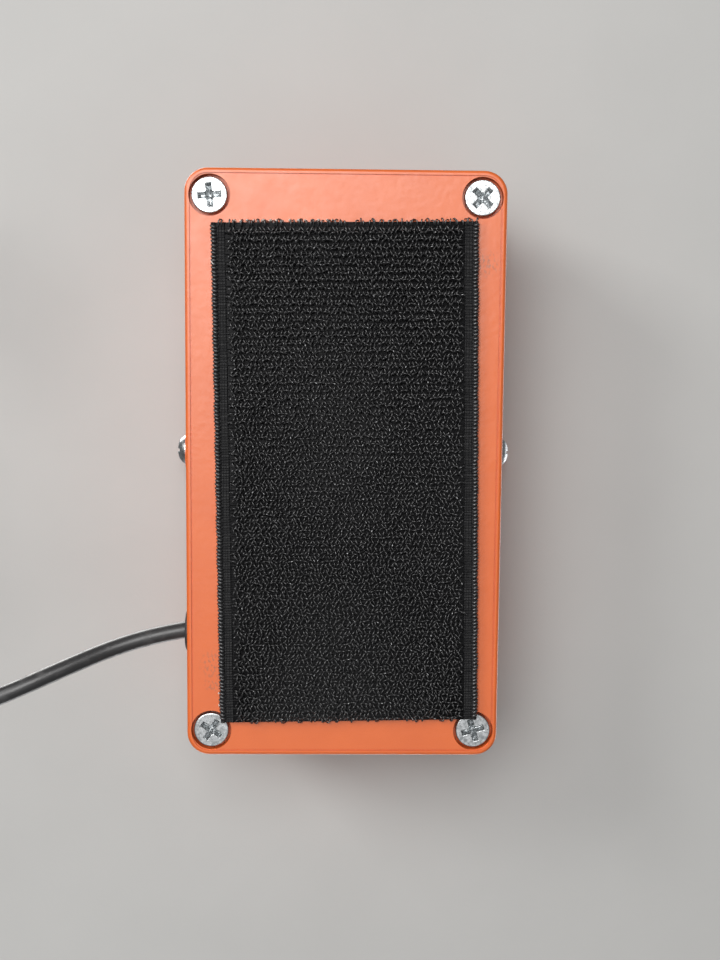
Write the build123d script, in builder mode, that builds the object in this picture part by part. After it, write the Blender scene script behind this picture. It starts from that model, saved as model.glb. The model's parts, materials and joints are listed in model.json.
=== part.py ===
from build123d import *
import math
import os

# Rocker volume pedal, right side up. Millimetres, +Z up, +Y to the toe, +X to the player's right.
# The origin is under the middle of the base, on the surface that the hook tape stands on.

# ---- Driving dimensions ----
BASE_WIDTH = 60.5
BASE_LENGTH = 112.5
CORNER_R = 4.4
DRAFT = 1.0  # degrees
WALL = 2.4

TAPE_WIDTH = 49.9
TAPE_LENGTH = 95.4
TAPE_TURN = -0.9  # degrees about +Z, as it was stuck on by hand
TAPE_AT = (0.5, 1.3)
TAPE_THICK = 2.0
ADHESIVE_THICK = 0.4
ADHESIVE_INSET = 0.2

FACE_Z = TAPE_THICK + ADHESIVE_THICK  # lower face of the bottom cover
COVER_THICK = 2.6
COVER_EDGE = 0.7
GROOVE_INSET = 0.95  # from the cover's outline to the fine line around its face
GROOVE_WIDTH = 0.3
GROOVE_DEPTH = 0.25
SEAM_EDGE = 0.25
LIP_GAP = 0.15
SEAT_Z = FACE_Z + COVER_THICK  # where the cover meets the housing
DECK_TOP = 23.0
DECK_THICK = 2.4
DECK_Z = DECK_TOP - DECK_THICK

SCREW_PITCH_X = 51.1
SCREW_PITCH_Y = 102.4
SCREW_HEAD_D = 6.8
SCREW_HEAD_H = 1.7
SCREW_HEAD_ROUND = 0.7
SCREW_CROSS = (4.5, 1.0)  # span and width of the cross recess
SCREW_CROSS_DEPTH = 1.1
SCREW_CROSS_TAPER = 22.0  # degrees, so that the arms are nearly V-shaped
SCREW_HEAD_SUNK = 0.4
SCREW_SHANK_D = 3.5
SCREW_CLEAR_D = 3.8
RECESS_D = 7.8
BOSS_D = 9.4
BOSS_H = 2.2
POST_D = 8.4

PIVOT_Y = -1.5
PIVOT_Z = 29.0
AXLE_D = 5.0
CHEEK_IN = 26.4
CHEEK_THICK = 3.0
CHEEK_TOP_R = 6.4
CHEEK_FOOT = 40.0
PIVOT_BOSS_D = 11.5
PIVOT_BOSS_X = 32.9
DOME_D = 6.2
DOME_H = 2.0
DOME_FLAT_D = 2.4
DOME_FOOT = 0.4  # straight part of the dome's side
DOME_MID = (1.45, 2.35)  # height and radius half way up the dome
DOME_SLOT = (4.4, 0.7)
DOME_SLOT_DEPTH = 0.9
RUN_GAP = 0.05  # radial running clearance of bush on axle

TREADLE_WIDTH = 57.0
TREADLE_LENGTH = 110.0
TREADLE_R = 6.0
TREADLE_Z = PIVOT_Z + 7.2  # underside of the treadle plate
TREADLE_THICK = 2.6
SKIRT_DROP = 3.0
SKIRT_THICK = 2.0
SKIRT_FREE = 46.0  # length beside the cheeks that has no skirt
LUG_IN = 21.4
LUG_THICK = 4.0
LUG_R = 5.2
WASHER_THICK = 0.8
BUSH_D = 7.4
PAD_INSET = 2.4
PAD_THICK = 1.6
RIB_H = 1.0
RIB_WIDTH = 2.0
RIB_PITCH = 3.6
TREADLE_TRAVEL = 8.5  # degrees each way

MODULE = 0.6
PINION_TEETH = 12
SECTOR_TEETH = 88  # teeth of the whole circle that the sector is cut from
GEAR_THICK = 3.0
TOOTH_SHARE = 0.40  # tooth thickness on the pitch circle, as a share of the pitch
FLANK = 20.0  # degrees
ADDENDUM = 0.9
DEDENDUM = 1.25
TOOTH_SUNK = 0.2
SECTOR_HALF = 13.0  # degrees of sector on each side of the line of centres
POT_DROP = 17.8  # pinion axis below the pivot
PINION_R = MODULE * PINION_TEETH / 2
SECTOR_R = MODULE * SECTOR_TEETH / 2
POT_Y = PIVOT_Y + math.sqrt((PINION_R + SECTOR_R) ** 2 - POT_DROP**2)
POT_Z = PIVOT_Z - POT_DROP

CORD_D = 3.4
CORD_EXIT_Y = 33.0
CORD_EXIT_Z = 10.0
GROMMET_FACE_X = -31.1

# The free cord from the grommet to the coil, and from the coil to the plug.
CORD_LEAD = [
    (GROMMET_FACE_X, CORD_EXIT_Y, CORD_EXIT_Z),
    (-39.1, CORD_EXIT_Y, CORD_EXIT_Z),
    (-47.6, 36.2, 8.4),
    (-55.6, 39.5, 4.4),
    (-63.6, 43.0, 1.8),
    (-71.6, 46.6, 1.7),
    (-80.6, 50.2, 1.9),
    (-90.0, 53.4, 2.6),
]
COIL_CENTRE = (-99.5, 31.0)
COIL_MID_R = 19.6
COIL_TURNS = 11.317
COIL_LAYERS = 4
COIL_STEP = CORD_D  # rise from one layer to the next
COIL_SPREAD = CORD_D * COIL_TURNS / COIL_LAYERS / 2  # radius each side of the middle turn
COIL_BASE = 0.9  # the ties pass under the coil
COIL_TOP = COIL_BASE + CORD_D + COIL_STEP * (COIL_LAYERS - 1)
PLUG_TURN = 15.0  # degrees from -Y towards +X
PLUG_Z = 7.0
PLUG_START = (-119.5, 2.0, PLUG_Z)
CORD_TAIL = [
    (-123.9, 31.0, 12.8),
    (-123.9, 23.0, 12.0),
    (-123.2, 15.6, 9.0),
    (-121.31, 8.76, PLUG_Z),
    PLUG_START,
]
ARC_SHARE = 0.45  # share of a corner's shorter run that its arc takes up

os.makedirs("parts", exist_ok=True)


def corner_radii(points):
    """The radius of the arc at each inner point of a cord's route: a share of its shorter run
    over the tangent of half its turn."""
    radii = []
    for before, here, after in zip(points, points[1:], points[2:]):
        run_in = Vector(*here) - Vector(*before)
        run_out = Vector(*after) - Vector(*here)
        half_turn = math.radians(run_in.get_angle(run_out)) / 2
        radii.append(ARC_SHARE * min(run_in.length, run_out.length) / math.tan(half_turn))
    return radii


def spread(half_x, half_y):
    """The four places at plus and minus half_x and half_y."""
    return [(x, y) for x in (-half_x, half_x) for y in (-half_y, half_y)]


def facing_down(places, height):
    """Planes at these places that face down, so that a hole from them goes up."""
    return [Plane(origin=(x, y, height), z_dir=(0, 0, -1)) for x, y in places]


def tooth_profile(pitch_r):
    """One gear tooth along +X, as a straight-sided trapezoid sunk a little into its root circle."""
    half_tooth = TOOTH_SHARE * math.pi * MODULE / 2
    lean = math.tan(math.radians(FLANK))
    tip = ADDENDUM * MODULE
    root = DEDENDUM * MODULE + TOOTH_SUNK
    return [
        (pitch_r - root, -(half_tooth + root * lean)),
        (pitch_r + tip, -(half_tooth - tip * lean)),
        (pitch_r + tip, half_tooth - tip * lean),
        (pitch_r - root, half_tooth + root * lean),
    ]


# ---- Base housing: a drafted die-cast tub, open below, with cheeks for the treadle's axle ----
DECK_ROUND = 1.6
POST_AT = spread(SCREW_PITCH_X / 2, SCREW_PITCH_Y / 2)
BUMPER_PITCH = (32.0, 90.0)
BUMPER_AT = spread(BUMPER_PITCH[0] / 2, BUMPER_PITCH[1] / 2)
BUMPER_STEM_D = 3.2
CLAMP_X = -19.0
CLAMP_SCREW_OFF = 5.0  # from the cord's axis to the clamp's screw
CLAMP_AT = (CLAMP_X, CORD_EXIT_Y + CLAMP_SCREW_OFF)
GROMMET_BORE_D = 5.2
BRACKET_SCREW_X = 13.5
BRACKET_SCREW_PITCH = 12.0
BRACKET_SCREWS_AT = [
    (BRACKET_SCREW_X, POT_Y - BRACKET_SCREW_PITCH / 2),
    (BRACKET_SCREW_X, POT_Y + BRACKET_SCREW_PITCH / 2),
]
INSIDE_SCREWS_AT = [*BRACKET_SCREWS_AT, CLAMP_AT]
STUD_H = 2.0  # height of the studs under the deck
STUD_D = 5.2
INSIDE_SCREW_D = 2.5
INSIDE_SCREW_DEPTH = 3.2
POST_DEPTH = 7.0
SLOT_FROM_Y = PIVOT_Y + 14.5
SLOT_TO_Y = PIVOT_Y + 29.5
SLOT_WIDTH = 6.0
FOOT_SUNK = 0.4  # how far a cheek's foot, or a lug's, runs into its plate
BORE_OVERRUN = 1.0
CAVITY_HALF_X = BASE_WIDTH / 2 - WALL
CAVITY_HALF_Y = BASE_LENGTH / 2 - WALL

with BuildPart() as base_housing:
    with BuildSketch(Plane.XY.offset(SEAT_Z)):
        RectangleRounded(BASE_WIDTH, BASE_LENGTH, CORNER_R)
    extrude(amount=DECK_TOP - SEAT_Z, taper=DRAFT)
    fillet(base_housing.edges().group_by(Axis.Z)[-1], radius=DECK_ROUND)
    fillet(base_housing.edges().group_by(Axis.Z)[0], radius=SEAM_EDGE)
    with BuildSketch(Plane.XY.offset(SEAT_Z)):
        RectangleRounded(2 * CAVITY_HALF_X, 2 * CAVITY_HALF_Y, CORNER_R - WALL)
    extrude(amount=DECK_Z - SEAT_Z, mode=Mode.SUBTRACT)
    # Corner posts for the cover screws.
    with BuildSketch(Plane.XY.offset(SEAT_Z + BOSS_H)):
        with Locations(*POST_AT):
            Circle(POST_D / 2)
    extrude(amount=DECK_Z - SEAT_Z - BOSS_H)
    # Cheeks beside the treadle, on both sides, with a round boss outside each.
    for side in (-1, 1):
        cheek_plane = Plane(origin=(side * CHEEK_IN, PIVOT_Y, PIVOT_Z), x_dir=(0, 1, 0), z_dir=(1, 0, 0))
        with BuildSketch(cheek_plane):
            with BuildLine():
                foot = DECK_Z - PIVOT_Z + FOOT_SUNK
                Polyline((-CHEEK_TOP_R, 0), (-CHEEK_FOOT / 2, foot), (CHEEK_FOOT / 2, foot), (CHEEK_TOP_R, 0))
                CenterArc((0, 0), CHEEK_TOP_R, 0, 180)
            make_face()
        extrude(amount=side * CHEEK_THICK)
        with BuildSketch(cheek_plane):
            Circle(PIVOT_BOSS_D / 2)
        extrude(amount=side * (PIVOT_BOSS_X - CHEEK_IN))
    # Studs under the deck for the potentiometer's bracket and the cord clamp.
    with BuildSketch(Plane.XY.offset(DECK_Z - STUD_H)):
        with Locations(*INSIDE_SCREWS_AT):
            Circle(STUD_D / 2)
    extrude(amount=STUD_H)
    # The slot that the sector gear hangs through, with rounded ends.
    with BuildSketch(Plane.XY.offset(DECK_Z)):
        with Locations((0, (SLOT_FROM_Y + SLOT_TO_Y) / 2)):
            SlotOverall(SLOT_TO_Y - SLOT_FROM_Y, SLOT_WIDTH, rotation=90)
    extrude(amount=DECK_THICK, mode=Mode.SUBTRACT)
    # Bores: axle, cord grommet, cover screws, inside screws, bumper stems.
    with Locations(Plane(origin=(0, PIVOT_Y, PIVOT_Z), z_dir=(1, 0, 0))):
        Hole(AXLE_D / 2)
    with Locations(Plane(origin=(-BASE_WIDTH / 2, CORD_EXIT_Y, CORD_EXIT_Z), z_dir=(-1, 0, 0))):
        Hole(GROMMET_BORE_D / 2, depth=WALL + BORE_OVERRUN)
    with Locations(*facing_down(POST_AT, SEAT_Z + BOSS_H)):
        Hole(SCREW_SHANK_D / 2, depth=POST_DEPTH)
    with Locations(*facing_down(INSIDE_SCREWS_AT, DECK_Z - STUD_H)):
        Hole(INSIDE_SCREW_D / 2, depth=INSIDE_SCREW_DEPTH)
    with Locations(*[(x, y, DECK_TOP) for x, y in BUMPER_AT]):
        Hole(BUMPER_STEM_D / 2, depth=DECK_THICK)
base_housing.part.label = "base_housing"
export_step(base_housing.part, "parts/base_housing.step")


# ---- Bottom cover: a plate with a cup at each corner that holds a sunk screw head ----
RECESS_DEPTH = SCREW_HEAD_SUNK + SCREW_HEAD_H

with BuildPart() as bottom_cover:
    with BuildSketch(Plane.XY.offset(FACE_Z)):
        RectangleRounded(BASE_WIDTH, BASE_LENGTH, CORNER_R)
    extrude(amount=COVER_THICK)
    fillet(bottom_cover.edges().group_by(Axis.Z)[0], radius=COVER_EDGE)
    fillet(bottom_cover.edges().group_by(Axis.Z)[-1], radius=SEAM_EDGE)
    with BuildSketch(Plane.XY.offset(FACE_Z)):
        for inset, mode in ((GROOVE_INSET, Mode.ADD), (GROOVE_INSET + GROOVE_WIDTH, Mode.SUBTRACT)):
            RectangleRounded(
                BASE_WIDTH - 2 * inset, BASE_LENGTH - 2 * inset, CORNER_R - inset, mode=mode
            )
    extrude(amount=GROOVE_DEPTH, mode=Mode.SUBTRACT)
    with BuildSketch(Plane.XY.offset(SEAT_Z)):
        with Locations(*POST_AT):
            Circle(BOSS_D / 2)
        RectangleRounded(
            2 * (CAVITY_HALF_X - LIP_GAP),
            2 * (CAVITY_HALF_Y - LIP_GAP),
            CORNER_R - WALL - LIP_GAP,
            mode=Mode.INTERSECT,
        )
    extrude(amount=BOSS_H)
    with Locations(*facing_down(POST_AT, FACE_Z)):
        CounterBoreHole(SCREW_CLEAR_D / 2, RECESS_D / 2, RECESS_DEPTH, depth=COVER_THICK + BOSS_H)
bottom_cover.part.label = "bottom_cover"
export_step(bottom_cover.part, "parts/bottom_cover.step")

# ---- Cover screws: four pan heads with a cross recess ----
CROSS_TURNS = {(-1, -1): 6.0, (1, -1): 44.0, (-1, 1): 28.0, (1, 1): -14.0}  # degrees, by corner
SCREW_LENGTH = 8.0

with BuildPart() as cover_screws:
    for (side_x, side_y), turn in CROSS_TURNS.items():
        place = Plane(
            origin=(side_x * SCREW_PITCH_X / 2, side_y * SCREW_PITCH_Y / 2, FACE_Z + SCREW_HEAD_SUNK),
            z_dir=(0, 0, -1),
        ).rotated((0, 0, turn))
        head_plane = place.offset(-SCREW_HEAD_H)
        with BuildSketch(head_plane):
            Circle(SCREW_HEAD_D / 2)
        extrude(amount=SCREW_HEAD_H)
        rim = cover_screws.edges().filter_by(GeomType.CIRCLE).group_by(Axis.Z)[0]
        fillet(rim.sort_by_distance(place.origin)[0], radius=SCREW_HEAD_ROUND)
        with BuildSketch(head_plane):
            Circle(SCREW_SHANK_D / 2)
        extrude(amount=-SCREW_LENGTH)
        with BuildSketch(place):
            for quarter in (0, 90):
                Rectangle(*SCREW_CROSS, rotation=quarter)
        extrude(amount=-SCREW_CROSS_DEPTH, taper=SCREW_CROSS_TAPER, mode=Mode.SUBTRACT)
cover_screws.part.label = "cover_screws"
export_step(cover_screws.part, "parts/cover_screws.step")

# ---- Hook tape and its adhesive layer ----
TAPE_PLANE = Plane(origin=(*TAPE_AT, 0)).rotated((0, 0, TAPE_TURN))

with BuildPart() as hook_tape:
    with BuildSketch(TAPE_PLANE):
        Rectangle(TAPE_WIDTH, TAPE_LENGTH)
    extrude(amount=TAPE_THICK)
hook_tape.part.label = "hook_tape"
export_step(hook_tape.part, "parts/hook_tape.step")

with BuildPart() as tape_adhesive:
    with BuildSketch(TAPE_PLANE.offset(TAPE_THICK)):
        Rectangle(TAPE_WIDTH - 2 * ADHESIVE_INSET, TAPE_LENGTH - 2 * ADHESIVE_INSET)
    extrude(amount=ADHESIVE_THICK)
tape_adhesive.part.label = "tape_adhesive"
export_step(tape_adhesive.part, "parts/tape_adhesive.step")

# ---- Axle across both cheeks, with a domed screw in each end ----
SCREW_THREAD_D = 2.5
THREAD_DEPTH = 7.0
TIP_GAP = 1.0  # from a pivot screw's end to the end of its hole
END_GAP = 0.3

with BuildPart() as pivot_axle:
    with BuildSketch(Plane(origin=(0, PIVOT_Y, PIVOT_Z), z_dir=(1, 0, 0))):
        Circle(AXLE_D / 2)
    extrude(amount=PIVOT_BOSS_X - END_GAP, both=True)
    for side in (-1, 1):
        with Locations(
            Plane(origin=(side * (PIVOT_BOSS_X - END_GAP), PIVOT_Y, PIVOT_Z), z_dir=(side, 0, 0))
        ):
            Hole(SCREW_THREAD_D / 2, depth=THREAD_DEPTH)
pivot_axle.part.label = "pivot_axle"
export_step(pivot_axle.part, "parts/pivot_axle.step")

with BuildPart() as pivot_screws:
    for side in (-1, 1):
        head_plane = Plane(origin=(side * PIVOT_BOSS_X, PIVOT_Y, PIVOT_Z), z_dir=(side, 0, 0))
        with BuildSketch(head_plane):
            Circle(DOME_D / 2)
        extrude(amount=DOME_FOOT)
        with BuildSketch(Plane(head_plane.origin, x_dir=(side, 0, 0), z_dir=(0, -1, 0))):
            with BuildLine():
                Line((DOME_FOOT, 0), (DOME_H, 0))
                Line((DOME_H, 0), (DOME_H, DOME_FLAT_D / 2))
                ThreePointArc((DOME_H, DOME_FLAT_D / 2), DOME_MID, (DOME_FOOT, DOME_D / 2))
                Line((DOME_FOOT, DOME_D / 2), (DOME_FOOT, 0))
            make_face()
        revolve(axis=Axis(head_plane.origin, (1, 0, 0)))
        with BuildSketch(head_plane):
            Circle(SCREW_THREAD_D / 2)
        extrude(amount=-(THREAD_DEPTH - TIP_GAP))
        with BuildSketch(head_plane.offset(DOME_H)):
            Rectangle(*DOME_SLOT)
        extrude(amount=-DOME_SLOT_DEPTH, mode=Mode.SUBTRACT)
pivot_screws.part.label = "pivot_screws"
export_step(pivot_screws.part, "parts/pivot_screws.step")

# ---- Rubber stops under the treadle's corners, each with a stem in the deck ----
BUMPER_D = 9.0
BUMPER_H = 5.8
BUMPER_TAPER = 6.0  # degrees
BUMPER_ROUND = 1.6
STEM_PAST_DECK = 0.8

with BuildPart() as treadle_stops:
    with BuildSketch(Plane.XY.offset(DECK_TOP)):
        with Locations(*BUMPER_AT):
            Circle(BUMPER_D / 2)
    extrude(amount=BUMPER_H, taper=BUMPER_TAPER)
    fillet(treadle_stops.edges().group_by(Axis.Z)[-1], radius=BUMPER_ROUND)
    with BuildSketch(Plane.XY.offset(DECK_TOP)):
        with Locations(*BUMPER_AT):
            Circle(BUMPER_STEM_D / 2)
    extrude(amount=-(DECK_THICK + STEM_PAST_DECK))
treadle_stops.part.label = "treadle_stops"
export_step(treadle_stops.part, "parts/treadle_stops.step")

# ---- Treadle: plate, broken skirt, two lugs for the axle and a web for the sector gear ----
WEB_X = 1.5
WEB_THICK = 3.0
WEB_FROM_Y = PIVOT_Y + 12.5
WEB_TO_Y = PIVOT_Y + 28.0
WEB_DROP = 6.5
LUG_FOOT = 22.0
TREADLE_ROUND = 1.0
SECTOR_SCREWS_Y = (PIVOT_Y + 16.0, PIVOT_Y + 24.5)
SECTOR_SCREWS_Z = PIVOT_Z + 3.6
SECTOR_SCREW_D = 2.5
TREADLE_TOP = TREADLE_Z + TREADLE_THICK

with BuildPart() as treadle_plate:
    with BuildSketch(Plane.XY.offset(TREADLE_Z - SKIRT_DROP)):
        RectangleRounded(TREADLE_WIDTH, TREADLE_LENGTH, TREADLE_R)
        RectangleRounded(
            TREADLE_WIDTH - 2 * SKIRT_THICK,
            TREADLE_LENGTH - 2 * SKIRT_THICK,
            TREADLE_R - SKIRT_THICK,
            mode=Mode.SUBTRACT,
        )
        with Locations((0, PIVOT_Y)):
            Rectangle(TREADLE_WIDTH, SKIRT_FREE, mode=Mode.SUBTRACT)
    extrude(amount=SKIRT_DROP)
    with BuildSketch(Plane.XY.offset(TREADLE_Z)):
        RectangleRounded(TREADLE_WIDTH, TREADLE_LENGTH, TREADLE_R)
    extrude(amount=TREADLE_THICK)
    fillet(treadle_plate.edges().group_by(Axis.Z)[-1], radius=TREADLE_ROUND)
    for side in (-1, 1):
        lug_plane = Plane(origin=(side * LUG_IN, PIVOT_Y, PIVOT_Z), x_dir=(0, 1, 0), z_dir=(1, 0, 0))
        with BuildSketch(lug_plane):
            with BuildLine():
                top = TREADLE_Z - PIVOT_Z + FOOT_SUNK
                Polyline((-LUG_R, 0), (-LUG_FOOT / 2, top), (LUG_FOOT / 2, top), (LUG_R, 0))
                CenterArc((0, 0), LUG_R, 180, 180)
            make_face()
        extrude(amount=side * LUG_THICK)
    with BuildSketch(Plane.XY.offset(TREADLE_Z - WEB_DROP)):
        with Locations((WEB_X + WEB_THICK / 2, (WEB_FROM_Y + WEB_TO_Y) / 2)):
            Rectangle(WEB_THICK, WEB_TO_Y - WEB_FROM_Y)
    extrude(amount=WEB_DROP)
    with Locations(Plane(origin=(0, PIVOT_Y, PIVOT_Z), z_dir=(1, 0, 0))):
        Hole(BUSH_D / 2)
    with Locations(
        *[Plane(origin=(WEB_X, y, SECTOR_SCREWS_Z), z_dir=(-1, 0, 0)) for y in SECTOR_SCREWS_Y]
    ):
        Hole(SECTOR_SCREW_D / 2, depth=WEB_THICK)
treadle_plate.part.label = "treadle_plate"
export_step(treadle_plate.part, "parts/treadle_plate.step")

# ---- Tread pad: a rubber mat with ribs across it ----
PAD_WIDTH = TREADLE_WIDTH - 2 * PAD_INSET
PAD_LENGTH = TREADLE_LENGTH - 2 * PAD_INSET
PAD_MARGIN = 2.5  # plain border round the ribs
RIB_TAPER = 10.0  # degrees
RIB_COUNT = int((PAD_LENGTH - 2 * PAD_MARGIN) / RIB_PITCH)

with BuildPart() as tread_pad:
    with BuildSketch(Plane.XY.offset(TREADLE_TOP)):
        RectangleRounded(PAD_WIDTH, PAD_LENGTH, TREADLE_R - PAD_INSET)
    extrude(amount=PAD_THICK)
    with BuildSketch(Plane.XY.offset(TREADLE_TOP + PAD_THICK)):
        with GridLocations(0, RIB_PITCH, 1, RIB_COUNT):
            SlotOverall(PAD_WIDTH - 2 * PAD_MARGIN, RIB_WIDTH)
    extrude(amount=RIB_H, taper=RIB_TAPER)
tread_pad.part.label = "tread_pad"
export_step(tread_pad.part, "parts/tread_pad.step")

# ---- Bearing bushes in the lugs, and thrust washers between lugs and cheeks ----
BUSH_FLANGE_D = BUSH_D + 2.4
BUSH_FLANGE_THICK = 1.0

with BuildPart() as pivot_bushes:
    for side in (-1, 1):
        with BuildSketch(Plane(origin=(side * LUG_IN, PIVOT_Y, PIVOT_Z), z_dir=(side, 0, 0))):
            Circle(BUSH_D / 2)
            Circle(AXLE_D / 2 + RUN_GAP, mode=Mode.SUBTRACT)
        extrude(amount=LUG_THICK)
        with BuildSketch(Plane(origin=(side * LUG_IN, PIVOT_Y, PIVOT_Z), z_dir=(-side, 0, 0))):
            Circle(BUSH_FLANGE_D / 2)
            Circle(AXLE_D / 2 + RUN_GAP, mode=Mode.SUBTRACT)
        extrude(amount=BUSH_FLANGE_THICK)
pivot_bushes.part.label = "pivot_bushes"
export_step(pivot_bushes.part, "parts/pivot_bushes.step")

with BuildPart() as thrust_washers:
    for side in (-1, 1):
        with BuildSketch(
            Plane(origin=(side * (LUG_IN + LUG_THICK), PIVOT_Y, PIVOT_Z), z_dir=(side, 0, 0))
        ):
            Circle(LUG_R)
            Circle(AXLE_D / 2 + RUN_GAP, mode=Mode.SUBTRACT)
        extrude(amount=WASHER_THICK)
thrust_washers.part.label = "thrust_washers"
export_step(thrust_washers.part, "parts/thrust_washers.step")

# ---- Sector gear on the treadle and pinion on the potentiometer's shaft ----
PIVOT_PLANE = Plane(origin=(0, PIVOT_Y, PIVOT_Z), x_dir=(0, 1, 0), z_dir=(1, 0, 0))
POT_PLANE = Plane(origin=(0, POT_Y, POT_Z), x_dir=(0, 1, 0), z_dir=(1, 0, 0))
LINE_ANGLE = math.degrees(math.atan2(POT_Z - PIVOT_Z, POT_Y - PIVOT_Y))
SECTOR_PITCH = 360 / SECTOR_TEETH
PINION_PITCH = 360 / PINION_TEETH
SECTOR_ROOT_R = SECTOR_R - DEDENDUM * MODULE
SECTOR_IN_R = 20.5
SECTOR_FOOT = (12.5, 28.0)  # from and to, ahead of the pivot, against the treadle's web
SECTOR_FOOT_TOP = 6.9
SECTOR_WAIST = 1.0
SECTOR_SHOULDER = [(25.6, -5.0), (28.0, 0.5)]
SECTOR_TOOTH_COUNT = int(2 * SECTOR_HALF / SECTOR_PITCH)
HUB_D = 7.0
HUB_LENGTH = 4.5
PINION_WIDTH = 4.0
SHAFT_D = 3.0


def on_circle(radius, angle):
    """The point at this radius and angle in degrees."""
    return (radius * math.cos(math.radians(angle)), radius * math.sin(math.radians(angle)))


with BuildPart() as sector_gear:
    low = LINE_ANGLE - SECTOR_HALF
    high = LINE_ANGLE + SECTOR_HALF
    with BuildSketch(PIVOT_PLANE.offset(-GEAR_THICK / 2)):
        with BuildLine():
            RadiusArc(
                on_circle(SECTOR_ROOT_R, low), on_circle(SECTOR_ROOT_R, high), -SECTOR_ROOT_R
            )
            Polyline(
                on_circle(SECTOR_ROOT_R, high),
                *SECTOR_SHOULDER,
                (SECTOR_FOOT[1], SECTOR_FOOT_TOP),
                (SECTOR_FOOT[0], SECTOR_FOOT_TOP),
                (SECTOR_FOOT[0], SECTOR_WAIST),
                on_circle(SECTOR_IN_R, high),
            )
            RadiusArc(on_circle(SECTOR_IN_R, high), on_circle(SECTOR_IN_R, low), SECTOR_IN_R)
            Line(on_circle(SECTOR_IN_R, low), on_circle(SECTOR_ROOT_R, low))
        make_face()
        for number in range(SECTOR_TOOTH_COUNT):
            steps = number - (SECTOR_TOOTH_COUNT - 1) / 2
            with BuildLine(Plane.XY.rotated((0, 0, LINE_ANGLE + steps * SECTOR_PITCH))):
                Polyline(*tooth_profile(SECTOR_R), close=True)
            make_face()
    extrude(amount=GEAR_THICK)
    with Locations(
        *[Plane(origin=(GEAR_THICK / 2, y, SECTOR_SCREWS_Z), z_dir=(1, 0, 0)) for y in SECTOR_SCREWS_Y]
    ):
        Hole(SECTOR_SCREW_D / 2)
sector_gear.part.label = "sector_gear"
export_step(sector_gear.part, "parts/sector_gear.step")

SECTOR_HEAD_D = 4.4
SECTOR_HEAD_H = 1.2
SMALL_CROSS = (2.4, 0.6)  # span and width of a small screw's cross recess
SMALL_CROSS_DEPTH = 0.7

with BuildPart() as sector_screws:
    for y in SECTOR_SCREWS_Y:
        head_plane = Plane(origin=(-GEAR_THICK / 2, y, SECTOR_SCREWS_Z), z_dir=(-1, 0, 0))
        with BuildSketch(head_plane):
            Circle(SECTOR_HEAD_D / 2)
        extrude(amount=SECTOR_HEAD_H)
        with BuildSketch(head_plane):
            Circle(SECTOR_SCREW_D / 2)
        extrude(amount=-(GEAR_THICK + WEB_THICK))
        with BuildSketch(head_plane.offset(SECTOR_HEAD_H)):
            for quarter in (0, 90):
                Rectangle(*SMALL_CROSS, rotation=quarter)
        extrude(amount=-SMALL_CROSS_DEPTH, mode=Mode.SUBTRACT)
sector_screws.part.label = "sector_screws"
export_step(sector_screws.part, "parts/sector_screws.step")

GRUB_SCREW_D = 1.6
GRUB_SCREW_LENGTH = 1.8

with BuildPart() as pinion:
    with BuildSketch(POT_PLANE.offset(-PINION_WIDTH / 2)):
        Circle(PINION_R - DEDENDUM * MODULE)
        for number in range(PINION_TEETH):
            turn = LINE_ANGLE + 180 + number * PINION_PITCH
            with BuildLine(Plane.XY.rotated((0, 0, turn))):
                Polyline(*tooth_profile(PINION_R), close=True)
            make_face()
    extrude(amount=PINION_WIDTH)
    with BuildSketch(POT_PLANE.offset(-PINION_WIDTH / 2)):
        Circle(HUB_D / 2)
    extrude(amount=-HUB_LENGTH)
    with Locations(POT_PLANE):
        Hole(SHAFT_D / 2)
    with Locations(
        Plane(origin=(-(PINION_WIDTH + HUB_LENGTH) / 2, POT_Y, POT_Z + HUB_D / 2), z_dir=(0, 0, 1))
    ):
        Hole(GRUB_SCREW_D / 2, depth=HUB_D / 2)
pinion.part.label = "pinion"
export_step(pinion.part, "parts/pinion.step")

with BuildPart() as pinion_screw:
    with BuildSketch(
        Plane(origin=(-(PINION_WIDTH + HUB_LENGTH) / 2, POT_Y, POT_Z + SHAFT_D / 2), z_dir=(0, 0, 1))
    ):
        Circle(GRUB_SCREW_D / 2)
    extrude(amount=GRUB_SCREW_LENGTH)
pinion_screw.part.label = "pinion_screw"
export_step(pinion_screw.part, "parts/pinion_screw.step")

# ---- Potentiometer: case, track, wiper, shaft in its bushing, nut, washer, terminals ----
BRACKET_X = 8.0
BRACKET_THICK = 1.5
CASE_D = 10.4
CASE_X = BRACKET_X + BRACKET_THICK
CASE_LENGTH = 6.0
CASE_WALL = 0.7
BUSHING_D = 6.0
BUSHING_X = 3.6
BUSHING_BORE_D = SHAFT_D + 2 * RUN_GAP
NUT_THICK = 1.8
POT_WASHER_THICK = 0.6
TRACK_THICK = 0.8
WIPER_THICK = 1.2
WIPER_HUB_D = 3.2
WIPER_ARM = (7.0, 2.0)
WIPER_GAP = 0.4
WIPER_X = CASE_X + CASE_LENGTH - CASE_WALL - TRACK_THICK - WIPER_GAP - WIPER_THICK
CASE_ROUND = 0.5
POT_WASHER_D = 9.6
NUT_ACROSS_FLATS = 8.4

with BuildPart() as pot_shaft:
    with BuildSketch(POT_PLANE.offset(-PINION_WIDTH / 2 - HUB_LENGTH)):
        Circle(SHAFT_D / 2)
    extrude(amount=WIPER_X + PINION_WIDTH / 2 + HUB_LENGTH)
pot_shaft.part.label = "pot_shaft"
export_step(pot_shaft.part, "parts/pot_shaft.step")

with BuildPart() as pot_wiper:
    with BuildSketch(POT_PLANE.offset(WIPER_X)):
        Circle(WIPER_HUB_D / 2)
        with Locations(Location((0, 0, 0), (0, 0, LINE_ANGLE))):
            SlotOverall(*WIPER_ARM)
    extrude(amount=WIPER_THICK)
pot_wiper.part.label = "pot_wiper"
export_step(pot_wiper.part, "parts/pot_wiper.step")

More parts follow.
